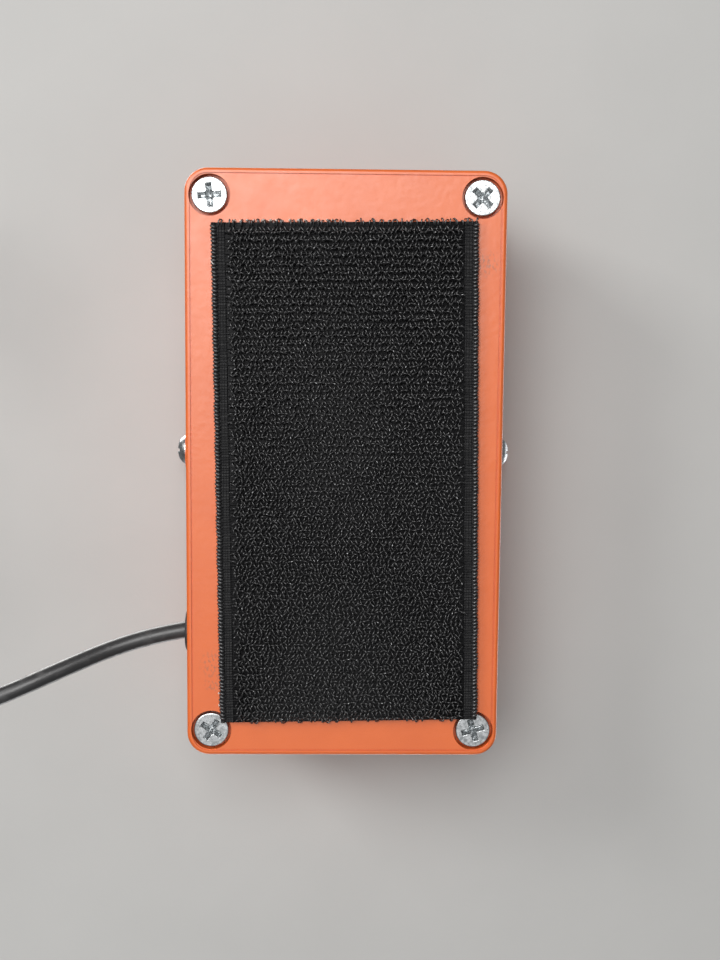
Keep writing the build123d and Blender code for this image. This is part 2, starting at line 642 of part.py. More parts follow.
with BuildPart() as pot_track:
    with BuildSketch(POT_PLANE.offset(CASE_X + CASE_LENGTH - CASE_WALL - TRACK_THICK)):
        Circle(CASE_D / 2 - CASE_WALL)
    extrude(amount=TRACK_THICK)
pot_track.part.label = "pot_track"
export_step(pot_track.part, "parts/pot_track.step")

with BuildPart() as pot_case:
    with BuildSketch(POT_PLANE.offset(CASE_X)):
        Circle(CASE_D / 2)
    extrude(amount=CASE_LENGTH)
    fillet(pot_case.edges().filter_by(GeomType.CIRCLE).sort_by(Axis.X)[-1], radius=CASE_ROUND)
    with BuildSketch(POT_PLANE.offset(CASE_X + CASE_WALL)):
        Circle(CASE_D / 2 - CASE_WALL)
    extrude(amount=CASE_LENGTH - 2 * CASE_WALL, mode=Mode.SUBTRACT)
    with BuildSketch(POT_PLANE.offset(CASE_X)):
        Circle(BUSHING_BORE_D / 2)
    extrude(amount=CASE_WALL, mode=Mode.SUBTRACT)
pot_case.part.label = "pot_case"
export_step(pot_case.part, "parts/pot_case.step")

with BuildPart() as pot_bushing:
    with BuildSketch(POT_PLANE.offset(BUSHING_X)):
        Circle(BUSHING_D / 2)
        Circle(BUSHING_BORE_D / 2, mode=Mode.SUBTRACT)
    extrude(amount=CASE_X - BUSHING_X)
pot_bushing.part.label = "pot_bushing"
export_step(pot_bushing.part, "parts/pot_bushing.step")

with BuildPart() as pot_washer:
    with BuildSketch(POT_PLANE.offset(BRACKET_X - POT_WASHER_THICK)):
        Circle(POT_WASHER_D / 2)
        Circle(BUSHING_D / 2, mode=Mode.SUBTRACT)
    extrude(amount=POT_WASHER_THICK)
pot_washer.part.label = "pot_washer"
export_step(pot_washer.part, "parts/pot_washer.step")

with BuildPart() as pot_nut:
    with BuildSketch(POT_PLANE.offset(BRACKET_X - POT_WASHER_THICK - NUT_THICK)):
        RegularPolygon(NUT_ACROSS_FLATS / 2, 6, major_radius=False)
        Circle(BUSHING_D / 2, mode=Mode.SUBTRACT)
    extrude(amount=NUT_THICK)
pot_nut.part.label = "pot_nut"
export_step(pot_nut.part, "parts/pot_nut.step")

TERMINAL_PITCH = 1.7
TERMINAL_FIRST = 1.2  # from the case's front face
TERMINAL_X = [CASE_X + TERMINAL_FIRST + number * TERMINAL_PITCH for number in range(3)]
TERMINAL_LENGTH = 3.6
TERMINAL_SECTION = (0.9, 0.5)

with BuildPart() as pot_terminals:
    with BuildSketch(Plane.XZ.offset(-(POT_Y + CASE_D / 2 + TERMINAL_LENGTH))):
        with Locations(*[(x, POT_Z) for x in TERMINAL_X]):
            Rectangle(*TERMINAL_SECTION)
    extrude(amount=TERMINAL_LENGTH)
pot_terminals.part.label = "pot_terminals"
export_step(pot_terminals.part, "parts/pot_terminals.step")

# ---- Bracket: a folded steel angle that hangs the potentiometer under the deck ----
BRACKET_HALF = 8.6
FLANGE_Z = DECK_Z - STUD_H - BRACKET_THICK
FLANGE_TO_X = 17.0
BRACKET_FOOT_Z = POT_Z - 5.6
INSIDE_CLEARANCE = 0.1  # radial, of a small screw in a plate
INSIDE_TIP_GAP = 0.4
INSIDE_HEAD_H = 1.4
BRACKET_HEAD_D = 4.6
BRACKET_CROSS = (2.6, 0.6)
BRACKET_CROSS_DEPTH = 0.8

with BuildPart() as pot_bracket:
    with BuildSketch(Plane.XZ.offset(-(POT_Y - BRACKET_HALF))):
        with BuildLine():
            Polyline(
                (BRACKET_X, BRACKET_FOOT_Z),
                (BRACKET_X, DECK_Z - STUD_H),
                (FLANGE_TO_X, DECK_Z - STUD_H),
                (FLANGE_TO_X, FLANGE_Z),
                (BRACKET_X + BRACKET_THICK, FLANGE_Z),
                (BRACKET_X + BRACKET_THICK, BRACKET_FOOT_Z),
                close=True,
            )
        make_face()
    extrude(amount=-2 * BRACKET_HALF)
    with Locations(POT_PLANE.offset(BRACKET_X + BRACKET_THICK)):
        Hole(BUSHING_D / 2)
    with Locations(*facing_down(BRACKET_SCREWS_AT, FLANGE_Z)):
        Hole(INSIDE_SCREW_D / 2 + INSIDE_CLEARANCE, depth=BRACKET_THICK)
pot_bracket.part.label = "pot_bracket"
export_step(pot_bracket.part, "parts/pot_bracket.step")

with BuildPart() as bracket_screws:
    for place in facing_down(BRACKET_SCREWS_AT, FLANGE_Z):
        with BuildSketch(place):
            Circle(BRACKET_HEAD_D / 2)
        extrude(amount=INSIDE_HEAD_H)
        with BuildSketch(place):
            Circle(INSIDE_SCREW_D / 2)
        extrude(amount=-(BRACKET_THICK + INSIDE_SCREW_DEPTH - INSIDE_TIP_GAP))
        with BuildSketch(place.offset(INSIDE_HEAD_H)):
            for quarter in (0, 90):
                Rectangle(*BRACKET_CROSS, rotation=quarter)
        extrude(amount=-BRACKET_CROSS_DEPTH, mode=Mode.SUBTRACT)
bracket_screws.part.label = "bracket_screws"
export_step(bracket_screws.part, "parts/bracket_screws.step")

# ---- Cord entry: grommet, the cord's inner end, its clamp and the three wires ----
GROMMET_FLANGE_D = 8.4
GROMMET_ROUND = 0.5
GROMMET_IN_X = -26.6
INNER_END_X = -12.0
CLAMP_HALF = 3.0
CLAMP_TAB = 1.2
CLAMP_EAR = 6.4  # length of the tab that the screw goes through
CLAMP_HEAD_D = 4.0
EXIT_PLANE = Plane(origin=(GROMMET_FACE_X, CORD_EXIT_Y, CORD_EXIT_Z), x_dir=(0, 1, 0), z_dir=(1, 0, 0))

with BuildPart() as cord_grommet:
    with BuildSketch(EXIT_PLANE):
        Circle(GROMMET_FLANGE_D / 2)
    extrude(amount=-(GROMMET_FACE_X + BASE_WIDTH / 2))
    fillet(cord_grommet.edges().filter_by(GeomType.CIRCLE).sort_by(Axis.X)[0], radius=GROMMET_ROUND)
    with BuildSketch(EXIT_PLANE.offset(GROMMET_ROUND)):
        Circle(GROMMET_BORE_D / 2)
    extrude(amount=GROMMET_IN_X - GROMMET_FACE_X - GROMMET_ROUND)
    with Locations(EXIT_PLANE):
        Hole(CORD_D / 2)
cord_grommet.part.label = "cord_grommet"
export_step(cord_grommet.part, "parts/cord_grommet.step")

with BuildPart() as cord_inner:
    with BuildSketch(EXIT_PLANE):
        Circle(CORD_D / 2)
    extrude(amount=INNER_END_X - GROMMET_FACE_X)
cord_inner.part.label = "cord_inner"
export_step(cord_inner.part, "parts/cord_inner.step")

CLAMP_PLANE = Plane(
    origin=(CLAMP_AT[0] - CLAMP_HALF, CORD_EXIT_Y, CORD_EXIT_Z), x_dir=(0, 1, 0), z_dir=(1, 0, 0)
)
STUD_FACE = DECK_Z - STUD_H - CORD_EXIT_Z  # height of the stud's face above the cord's axis

with BuildPart() as cord_clamp:
    with BuildSketch(CLAMP_PLANE):
        Circle(CORD_D / 2 + CLAMP_TAB)
        with Locations((CORD_D / 2 + CLAMP_TAB / 2, STUD_FACE / 2)):
            Rectangle(CLAMP_TAB, STUD_FACE)
        with Locations((CORD_D / 2 + CLAMP_EAR / 2, STUD_FACE - CLAMP_TAB / 2)):
            Rectangle(CLAMP_EAR, CLAMP_TAB)
        Circle(CORD_D / 2, mode=Mode.SUBTRACT)
    extrude(amount=2 * CLAMP_HALF)
    with Locations(*facing_down([CLAMP_AT], DECK_Z - STUD_H - CLAMP_TAB)):
        Hole(INSIDE_SCREW_D / 2 + INSIDE_CLEARANCE, depth=CLAMP_TAB)
cord_clamp.part.label = "cord_clamp"
export_step(cord_clamp.part, "parts/cord_clamp.step")

with BuildPart() as clamp_screw:
    place = facing_down([CLAMP_AT], DECK_Z - STUD_H - CLAMP_TAB)[0]
    with BuildSketch(place):
        Circle(CLAMP_HEAD_D / 2)
    extrude(amount=INSIDE_HEAD_H)
    with BuildSketch(place):
        Circle(INSIDE_SCREW_D / 2)
    extrude(amount=-(CLAMP_TAB + INSIDE_SCREW_DEPTH - INSIDE_TIP_GAP))
clamp_screw.part.label = "clamp_screw"
export_step(clamp_screw.part, "parts/clamp_screw.step")

WIRE_D = 1.0
WIRE_BEND_R = 1.0
WIRE_PITCH = 1.1  # between the wires where they leave the cord
WIRE_STRAIGHT = 3.0
WIRE_TURN_AT = (2.0, 1.6, 8.8)  # X, distance ahead of the cord's axis, and Z
WIRE_FAN = 1.6
WIRE_RISE = 3.6  # how far ahead of the terminals the middle wire turns down to them
WIRE_RISE_STEP = 1.2
TERMINAL_END_Y = POT_Y + CASE_D / 2 + TERMINAL_LENGTH

with BuildPart() as signal_wires:
    for number, x in enumerate(TERMINAL_X):
        shift = number - 1
        with BuildLine() as wire_path:
            FilletPolyline(
                (INNER_END_X, CORD_EXIT_Y, CORD_EXIT_Z + WIRE_PITCH * shift),
                (INNER_END_X + WIRE_STRAIGHT, CORD_EXIT_Y, CORD_EXIT_Z + WIRE_PITCH * shift),
                (
                    WIRE_TURN_AT[0],
                    CORD_EXIT_Y + WIRE_TURN_AT[1] + WIRE_FAN * shift,
                    WIRE_TURN_AT[2] + WIRE_PITCH * shift,
                ),
                (x, TERMINAL_END_Y + WIRE_RISE + WIRE_RISE_STEP * shift, POT_Z),
                (x, TERMINAL_END_Y, POT_Z),
                radius=WIRE_BEND_R,
            )
        with BuildSketch(wire_path.line ^ 0):
            Circle(WIRE_D / 2)
        sweep()
signal_wires.part.label = "signal_wires"
export_step(signal_wires.part, "parts/signal_wires.step")

# ---- The free cord: lead-out, coil, tail and ties ----
lead_radii = corner_radii(CORD_LEAD)
tail_radii = corner_radii(CORD_TAIL)
print("cord_lead arc radii:", [round(r, 1) for r in lead_radii])
print("cord_tail arc radii:", [round(r, 1) for r in tail_radii])

with BuildPart() as cord_lead:
    with BuildLine() as lead_path:
        FilletPolyline(*CORD_LEAD, radius=lead_radii)
    with BuildSketch(lead_path.line ^ 0):
        Circle(CORD_D / 2)
    sweep()
cord_lead.part.label = "cord_lead"
export_step(cord_lead.part, "parts/cord_lead.step")

with BuildPart() as cord_tail:
    with BuildLine() as tail_path:
        FilletPolyline(*CORD_TAIL, radius=tail_radii)
    with BuildSketch(tail_path.line ^ 0):
        Circle(CORD_D / 2)
    sweep()
cord_tail.part.label = "cord_tail"
export_step(cord_tail.part, "parts/cord_tail.step")

section_area = math.pi * (CORD_D / 2) ** 2
cord_length = 2 * math.pi * COIL_MID_R * COIL_TURNS
for tube, path in ((cord_lead, lead_path), (cord_tail, tail_path)):
    tube_length = sum(edge.length for edge in path.edges())
    cord_length += tube_length
    ratio = tube.part.volume / (section_area * tube_length)
    print(tube.part.label, "length", round(tube_length, 1), "volume ratio", round(ratio, 4))
print("cord length", round(cord_length))

COIL_OUT_R = COIL_MID_R + COIL_SPREAD + CORD_D / 2
COIL_IN_R = COIL_MID_R - COIL_SPREAD - CORD_D / 2

with BuildPart() as cord_coil:
    with BuildSketch(Plane(origin=(*COIL_CENTRE, COIL_BASE), x_dir=(1, 0, 0), z_dir=(0, -1, 0))):
        with Locations((COIL_MID_R, (COIL_TOP - COIL_BASE) / 2)):
            RectangleRounded(COIL_OUT_R - COIL_IN_R, COIL_TOP - COIL_BASE, CORD_D / 2)
    revolve(axis=Axis((*COIL_CENTRE, 0), (0, 0, 1)))
cord_coil.part.label = "cord_coil"
export_step(cord_coil.part, "parts/cord_coil.step")

TIE_GAP = 0.05
TIE_SWEEP = 26.0  # degrees of the coil that a tie covers
TIE_ANGLES = (-55.0, 105.0)  # degrees about the coil's middle

with BuildPart() as cord_ties:
    for angle in TIE_ANGLES:
        outward = on_circle(1, angle - TIE_SWEEP / 2)
        tie_plane = Plane(
            origin=(*COIL_CENTRE, COIL_BASE), x_dir=(*outward, 0), z_dir=(outward[1], -outward[0], 0)
        )
        with BuildSketch(tie_plane):
            with Locations((COIL_MID_R, (COIL_TOP - COIL_BASE) / 2)):
                RectangleRounded(
                    COIL_OUT_R - COIL_IN_R + 2 * COIL_BASE,
                    COIL_TOP + COIL_BASE,
                    CORD_D / 2 + COIL_BASE,
                )
                RectangleRounded(
                    COIL_OUT_R - COIL_IN_R + 2 * TIE_GAP,
                    COIL_TOP - COIL_BASE + 2 * TIE_GAP,
                    CORD_D / 2 + TIE_GAP,
                    mode=Mode.SUBTRACT,
                )
        revolve(axis=Axis((*COIL_CENTRE, 0), (0, 0, 1)), revolution_arc=TIE_SWEEP)
cord_ties.part.label = "cord_ties"
export_step(cord_ties.part, "parts/cord_ties.step")

# ---- The 6.35 mm stereo plug, turned from its axis ----
PLUG_AXIS = (math.sin(math.radians(PLUG_TURN)), -math.cos(math.radians(PLUG_TURN)), 0)
PLUG_PLANE = Plane(origin=PLUG_START, x_dir=PLUG_AXIS, z_dir=(PLUG_AXIS[1], -PLUG_AXIS[0], 0))
PLUG_SPIN = Axis(PLUG_START, PLUG_AXIS)
BOOT_LENGTH = 16.0
SHELL_LENGTH = 28.0
SHELL_R = PLUG_Z
SLEEVE_R = 3.175
SLEEVE_FROM = BOOT_LENGTH + SHELL_LENGTH
SLEEVE_LENGTH = 17.0
RING_LENGTH = 3.4
INSULATOR_GAP = 0.9
PIN_LENGTH = 30.5
SLEEVE_TO = SLEEVE_FROM + SLEEVE_LENGTH
RING_FROM = SLEEVE_TO + INSULATOR_GAP
RING_TO = RING_FROM + RING_LENGTH
TIP_FROM = RING_TO + INSULATOR_GAP
TIP_TO = SLEEVE_FROM + PIN_LENGTH
CORE_R = 1.4
BOOT_MOUTH_R = CORD_D / 2 + 0.9
BOOT_COLLAR_R = 5.4
BOOT_COLLAR_LENGTH = 3.0
BOOT_STEP = 1.0
SHELL_CHAMFER = 1.2
NOSE_LENGTH = 5.0  # narrower end of the shell, at the sleeve
NOSE_STEP = 1.0
NOSE_CHAMFER = 0.5
TIP_COLLAR = 1.2
TIP_NECK = (2.6, 2.2)  # distance from the tip's start, and radius
TIP_BULGE = (4.0, 2.9)
TIP_SHOULDER = (-1.0, 1.5)  # distance from the tip's end, and radius
TIP_ARC_MID = (-0.35, 1.05)
TIP_FLAT_R = 0.4

with BuildPart() as plug_boot:
    with BuildSketch(PLUG_PLANE):
        with BuildLine():
            Polyline(
                (0, BOOT_MOUTH_R),
                (0, 0),
                (BOOT_LENGTH, 0),
                (BOOT_LENGTH, BOOT_COLLAR_R),
                (BOOT_LENGTH - BOOT_COLLAR_LENGTH, BOOT_COLLAR_R),
                (BOOT_LENGTH - BOOT_COLLAR_LENGTH - BOOT_STEP, BOOT_COLLAR_R - BOOT_STEP),
                close=True,
            )
        make_face()
    revolve(axis=PLUG_SPIN)
plug_boot.part.label = "plug_boot"
export_step(plug_boot.part, "parts/plug_boot.step")

with BuildPart() as plug_shell:
    with BuildSketch(PLUG_PLANE):
        with BuildLine():
            Polyline(
                (BOOT_LENGTH, 0),
                (BOOT_LENGTH, SHELL_R - SHELL_CHAMFER),
                (BOOT_LENGTH + SHELL_CHAMFER, SHELL_R),
                (SLEEVE_FROM - NOSE_LENGTH - NOSE_STEP, SHELL_R),
                (SLEEVE_FROM - NOSE_LENGTH, SHELL_R - NOSE_STEP),
                (SLEEVE_FROM - NOSE_CHAMFER, SHELL_R - NOSE_STEP),
                (SLEEVE_FROM, SHELL_R - NOSE_STEP - NOSE_CHAMFER),
                (SLEEVE_FROM, 0),
                close=True,
            )
        make_face()
    revolve(axis=PLUG_SPIN)
plug_shell.part.label = "plug_shell"
export_step(plug_shell.part, "parts/plug_shell.step")

with BuildPart() as plug_sleeve:
    with BuildSketch(PLUG_PLANE):
        with Locations(((SLEEVE_FROM + SLEEVE_TO) / 2, (SLEEVE_R + CORE_R) / 2)):
            Rectangle(SLEEVE_TO - SLEEVE_FROM, SLEEVE_R - CORE_R)
    revolve(axis=PLUG_SPIN)
plug_sleeve.part.label = "plug_sleeve"
export_step(plug_sleeve.part, "parts/plug_sleeve.step")

with BuildPart() as plug_ring:
    with BuildSketch(PLUG_PLANE):
        with Locations(((RING_FROM + RING_TO) / 2, (SLEEVE_R + CORE_R) / 2)):
            Rectangle(RING_TO - RING_FROM, SLEEVE_R - CORE_R)
    revolve(axis=PLUG_SPIN)
plug_ring.part.label = "plug_ring"
export_step(plug_ring.part, "parts/plug_ring.step")

with BuildPart() as plug_insulator:
    with BuildSketch(PLUG_PLANE):
        with BuildLine():
            Polyline(
                (SLEEVE_FROM, 0),
                (SLEEVE_FROM, CORE_R),
                (SLEEVE_TO, CORE_R),
                (SLEEVE_TO, SLEEVE_R),
                (RING_FROM, SLEEVE_R),
                (RING_FROM, CORE_R),
                (RING_TO, CORE_R),
                (RING_TO, SLEEVE_R),
                (TIP_FROM, SLEEVE_R),
                (TIP_FROM, 0),
                close=True,
            )
        make_face()
    revolve(axis=PLUG_SPIN)
plug_insulator.part.label = "plug_insulator"
export_step(plug_insulator.part, "parts/plug_insulator.step")

with BuildPart() as plug_tip:
    with BuildSketch(PLUG_PLANE):
        shoulder = (TIP_TO + TIP_SHOULDER[0], TIP_SHOULDER[1])
        with BuildLine():
            Polyline(
                (TIP_TO, TIP_FLAT_R),
                (TIP_TO, 0),
                (TIP_FROM, 0),
                (TIP_FROM, SLEEVE_R),
                (TIP_FROM + TIP_COLLAR, SLEEVE_R),
                (TIP_FROM + TIP_NECK[0], TIP_NECK[1]),
                (TIP_FROM + TIP_BULGE[0], TIP_BULGE[1]),
                shoulder,
            )
            ThreePointArc(shoulder, (TIP_TO + TIP_ARC_MID[0], TIP_ARC_MID[1]), (TIP_TO, TIP_FLAT_R))
        make_face()
    revolve(axis=PLUG_SPIN)
plug_tip.part.label = "plug_tip"
export_step(plug_tip.part, "parts/plug_tip.step")
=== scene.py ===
import json
import math
import random

import bpy
from mathutils import Matrix, Vector

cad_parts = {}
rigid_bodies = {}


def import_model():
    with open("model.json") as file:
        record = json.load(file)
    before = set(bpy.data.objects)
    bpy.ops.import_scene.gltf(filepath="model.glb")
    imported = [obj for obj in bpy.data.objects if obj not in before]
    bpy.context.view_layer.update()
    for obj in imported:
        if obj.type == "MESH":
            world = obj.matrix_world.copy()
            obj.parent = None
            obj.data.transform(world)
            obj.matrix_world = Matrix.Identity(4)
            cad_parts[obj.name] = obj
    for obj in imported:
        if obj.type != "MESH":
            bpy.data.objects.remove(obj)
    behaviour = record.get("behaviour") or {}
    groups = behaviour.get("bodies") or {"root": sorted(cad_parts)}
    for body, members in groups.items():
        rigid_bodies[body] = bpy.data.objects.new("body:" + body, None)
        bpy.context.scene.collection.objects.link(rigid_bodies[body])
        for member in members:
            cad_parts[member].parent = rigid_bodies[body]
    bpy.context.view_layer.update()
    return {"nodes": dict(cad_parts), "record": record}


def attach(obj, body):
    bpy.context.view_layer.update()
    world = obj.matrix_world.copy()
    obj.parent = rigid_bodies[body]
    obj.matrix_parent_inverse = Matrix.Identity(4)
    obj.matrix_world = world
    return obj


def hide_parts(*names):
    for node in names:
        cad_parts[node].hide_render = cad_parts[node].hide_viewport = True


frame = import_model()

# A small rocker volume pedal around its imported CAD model. Metres, in the CAD's frame: right side up,
# +Z up, +Y to the toe, +X to the player's right. The photograph shows the underside, so the scene's
# camera is below the pedal and looks up.
scene = bpy.context.scene
nodes = frame["nodes"]
MM = 0.001
TURN = 2 * math.pi
random.seed(11)

# ---- Camera: the photograph's view, straight up at the underside from 226 mm below ----
CAMERA_AT = (-2.13, -21.52, -225.74)  # mm
CAMERA_TURN = (174.10, 1.234, -0.515)  # degrees about X, Y and Z
LENS = 45.0
SENSOR = 36.0

camera_data = bpy.data.cameras.new("camera")
camera_data.lens = LENS
camera_data.sensor_width = SENSOR
camera_data.clip_start = 0.01
camera = bpy.data.objects.new("camera", camera_data)
camera.location = Vector(CAMERA_AT) * MM
camera.rotation_euler = [math.radians(angle) for angle in CAMERA_TURN]
scene.collection.objects.link(camera)
scene.camera = camera

# ---- The cord's route in mm, along the CAD's tubes: lead, coil and tail ----
CORD_D = 3.4
CORD_LEAD = [
    (-31.1, 33.0, 10.0),
    (-36.5, 33.9, 9.9),
    (-45.5, 36.4, 8.7),
    (-54.6, 39.7, 4.6),
    (-63.2, 43.2, 1.8),
    (-71.6, 46.6, 1.7),
    (-80.6, 50.2, 1.9),
]
CORD_TAIL = [
    (-123.9, 23.0, 12.0),
    (-123.2, 15.6, 9.0),
    (-121.31, 8.76, 7.0),
    (-119.5, 2.0, 7.0),
]
COIL_CENTRE = (-99.5, 31.0)
COIL_MID_R = 19.6
COIL_TURNS = 11.317
COIL_LAYERS = 4
COIL_FROM = 66.0  # degrees
COIL_BASE = 0.9
CLIMB_SHARE = 0.1  # share of a layer in which the cord climbs to the next
COIL_SPREAD = CORD_D * COIL_TURNS / COIL_LAYERS / 2
POINTS_PER_TURN = 16


def coil_points():
    """The coil's turns: four layers that wind inwards and outwards by turns, a diameter apart."""
    points = []
    count = round(COIL_TURNS * POINTS_PER_TURN)
    grow = 1 / math.cos(math.pi / POINTS_PER_TURN)  # the spline runs inside its control points
    for step in range(count + 1):
        done = step / count * COIL_LAYERS
        layer = min(int(done), COIL_LAYERS - 1)
        across = done - layer
        inward = across if layer % 2 == 0 else 1 - across
        radius = (COIL_MID_R + COIL_SPREAD - 2 * COIL_SPREAD * inward) * grow
        climb = min(max((across - 1 + CLIMB_SHARE) / CLIMB_SHARE, 0), 1) if layer < COIL_LAYERS - 1 else 0
        height = COIL_BASE + CORD_D / 2 + CORD_D * (layer + climb)
        angle = math.radians(COIL_FROM) + TURN * COIL_TURNS * step / count
        x = COIL_CENTRE[0] + radius * math.cos(angle)
        y = COIL_CENTRE[1] + radius * math.sin(angle)
        points.append((x, y, height))
    return points


def nurbs_piece(name, points, diameter):
    """A round curve of one NURBS spline through these control points in mm."""
    curve = bpy.data.curves.new(name, "CURVE")
    curve.dimensions = "3D"
    curve.bevel_depth = 1.0  # the points' own radii give the size, and the object's box grows by them
    curve.bevel_resolution = 5
    curve.resolution_u = 6
    curve.use_fill_caps = True
    spline = curve.splines.new("NURBS")
    spline.points.add(len(points) - 1)
    for target, point in zip(spline.points, points):
        target.co = (*[value * MM for value in point], 1)
        target.radius = diameter / 2 * MM
    spline.order_u = 3
    spline.use_endpoint_u = True
    piece = bpy.data.objects.new(name, curve)
    scene.collection.objects.link(piece)
    return piece


cord = nurbs_piece("cord", CORD_LEAD + coil_points() + CORD_TAIL, CORD_D)
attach(cord, "base")
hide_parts("cord_lead", "cord_coil", "cord_tail")


# ---- Surfaces ----
WAVE_BANDS = 20  # the wave texture makes this many bands in 2 pi


class Surface:
    """A Principled material whose detail comes from object coordinates, with sizes in mm."""

    def __init__(self, name, colour, roughness, **sockets):
        self.material = bpy.data.materials.new(name)
        self.material.use_nodes = True
        self.tree = self.material.node_tree
        self.shader = self.tree.nodes["Principled BSDF"]
        self.shader.inputs["Base Color"].default_value = (*colour, 1)
        self.shader.inputs["Roughness"].default_value = roughness
        for socket, value in sockets.items():
            self.shader.inputs[socket.replace("_", " ")].default_value = value
        self.place = self.tree.nodes.new("ShaderNodeTexCoord").outputs["Object"]

    def node(self, kind, inputs, **settings):
        made = self.tree.nodes.new(kind)
        for setting, value in settings.items():
            setattr(made, setting, value)
        for socket, value in inputs.items():
            if isinstance(value, bpy.types.NodeSocket):
                self.tree.links.new(value, made.inputs[socket])
            else:
                made.inputs[socket].default_value = value
        return made

    def scaled(self, size, stretch=(1, 1, 1)):
        """Object coordinates over a feature size in mm, pulled out by stretch along each axis."""
        factors = tuple(1 / (size * MM * pull) for pull in stretch)
        made = self.node("ShaderNodeVectorMath", {0: self.place, 1: factors}, operation="MULTIPLY")
        return made.outputs[0]

    def noise(self, size, detail=3.0, stretch=(1, 1, 1), distortion=0.0):
        made = self.node(
            "ShaderNodeTexNoise",
            {
                "Vector": self.scaled(size, stretch),
                "Scale": 1.0,
                "Detail": detail,
                "Distortion": distortion,
            },
        )
        return made.outputs["Fac"]

    def cells(self, size, stretch=(1, 1, 1)):
        inputs = {"Vector": self.scaled(size, stretch), "Scale": 1.0}
        return self.node("ShaderNodeTexVoronoi", inputs).outputs["Distance"]

    def waves(self, size, axis, distortion=0.0):
        """Fine parallel ridges across an axis, size mm apart."""
        inputs = {
            "Vector": self.scaled(size),
            "Scale": TURN / WAVE_BANDS,
            "Distortion": distortion,
            "Detail": 1.0,
        }
        made = self.node("ShaderNodeTexWave", inputs, bands_direction=axis)
        return made.outputs["Fac"]

    def span(self, value, low, high, to_low=0.0, to_high=1.0):
        """value's range from low to high, made into the range from to_low to to_high."""
        inputs = {0: value, 1: low, 2: high, 3: to_low, 4: to_high}
        return self.node("ShaderNodeMapRange", inputs).outputs[0]

    def maths(self, operation, first, second):
        return self.node("ShaderNodeMath", {0: first, 1: second}, operation=operation).outputs[0]

    def near(self, place, reach):
        """1 at a place in mm, falling to 0 at reach mm from it."""
        inputs = {0: self.place, 1: tuple(value * MM for value in place)}
        made = self.node("ShaderNodeVectorMath", inputs, operation="DISTANCE")
        return self.span(made.outputs["Value"], 0.0, reach * MM, 1.0, 0.0)

    def blend(self, factor, first, second):
        colours = [(*c, 1) if isinstance(c, tuple) else c for c in (first, second)]
        inputs = {0: factor, 6: colours[0], 7: colours[1]}
        return self.node("ShaderNodeMix", inputs, data_type="RGBA").outputs[2]

    def colour(self, value):
        self.tree.links.new(value, self.shader.inputs["Base Color"])

    def roughness(self, value):
        self.tree.links.new(value, self.shader.inputs["Roughness"])

    def relief(self, *layers):
        """Bumps over each other, each a height from 0 to 1 and its depth in mm."""
        normal = None
        for height, depth in layers:
            inputs = {"Height": height, "Distance": depth * MM, "Strength": 1.0}
            if normal:
                inputs["Normal"] = normal
            normal = self.node("ShaderNodeBump", inputs).outputs["Normal"]
        self.tree.links.new(normal, self.shader.inputs["Normal"])


RUB_MARKS = [((-24.9, 38.0, 2.4), 3.4), ((-25.0, 42.0, 2.4), 2.2), ((26.7, -39.0, 2.4), 3.0)]


def powder_coat():
    """Satin orange powder coat with a fine grain, faint waviness and scuffs beside the tape."""
    made = Surface("orange_coat", (0.73, 0.136, 0.018), 0.38, Specular_IOR_Level=1.0)
    shade = made.span(made.noise(9.0), 0.35, 0.65)
    colour = made.blend(shade, (0.710, 0.130, 0.017), (0.750, 0.143, 0.020))
    grain = made.noise(0.22, 2.0)
    colour = made.blend(made.span(grain, 0.25, 0.75, 0.0, 0.35), colour, (0.630, 0.105, 0.012))
    rubbed = made.span(made.noise(0.5, 4.0, (1.0, 1.6, 1.0)), 0.50, 0.62)
    for place, reach in RUB_MARKS:
        mask = made.maths("MULTIPLY", rubbed, made.near(place, reach))
        colour = made.blend(mask, colour, (0.360, 0.120, 0.060))
    made.colour(colour)
    made.roughness(made.span(made.noise(3.0, 4.0), 0.3, 0.7, 0.35, 0.42))
    made.relief((made.noise(1.3, 1.0), 0.030), (grain, 0.006))
    return made.material


def plated(name, colour, roughness, scratch_size=1.6, depth=0.010):
    """A metal with a fine lay of scratches and cloudy gloss."""
    made = Surface(name, colour, roughness, Metallic=1.0)
    cloud = made.noise(1.8, 4.0)
    darker = tuple(value * 0.78 for value in colour)
    made.colour(made.blend(made.span(cloud, 0.35, 0.7), colour, darker))
    made.roughness(made.span(cloud, 0.3, 0.7, roughness * 0.75, roughness * 1.35))
    scratches = made.noise(scratch_size, 5.0, (1.0, 0.08, 1.0), 0.6)
    crossing = made.noise(scratch_size, 4.0, (0.07, 1.0, 1.0), 0.4)
    made.relief((scratches, depth), (crossing, depth * 0.7))
    return made.material


def worn_zinc():
    """Bright zinc plate, bruised and pitted by a screwdriver."""
    made = Surface("zinc_screw", (0.66, 0.68, 0.69), 0.24, Metallic=1.0)
    bruise = made.noise(0.55, 4.0)
    made.colour(made.blend(made.span(bruise, 0.42, 0.66), (0.66, 0.68, 0.69), (0.36, 0.38, 0.39)))
    made.roughness(made.span(bruise, 0.3, 0.7, 0.20, 0.42))
    scratches = made.noise(1.2, 5.0, (1.0, 0.10, 1.0), 0.6)
    made.relief((bruise, 0.030), (scratches, 0.012))
    return made.material


def turned(name, colour, roughness):
    """A metal cut on a lathe across X, with its fine feed marks."""
    made = Surface(name, colour, roughness, Metallic=1.0)
    marks = made.waves(0.12, "X", 0.3)
    darker = tuple(value * 0.85 for value in colour)
    made.colour(made.blend(made.span(made.noise(1.2, 3.0), 0.3, 0.7), colour, darker))
    made.relief((marks, 0.004))
    return made.material


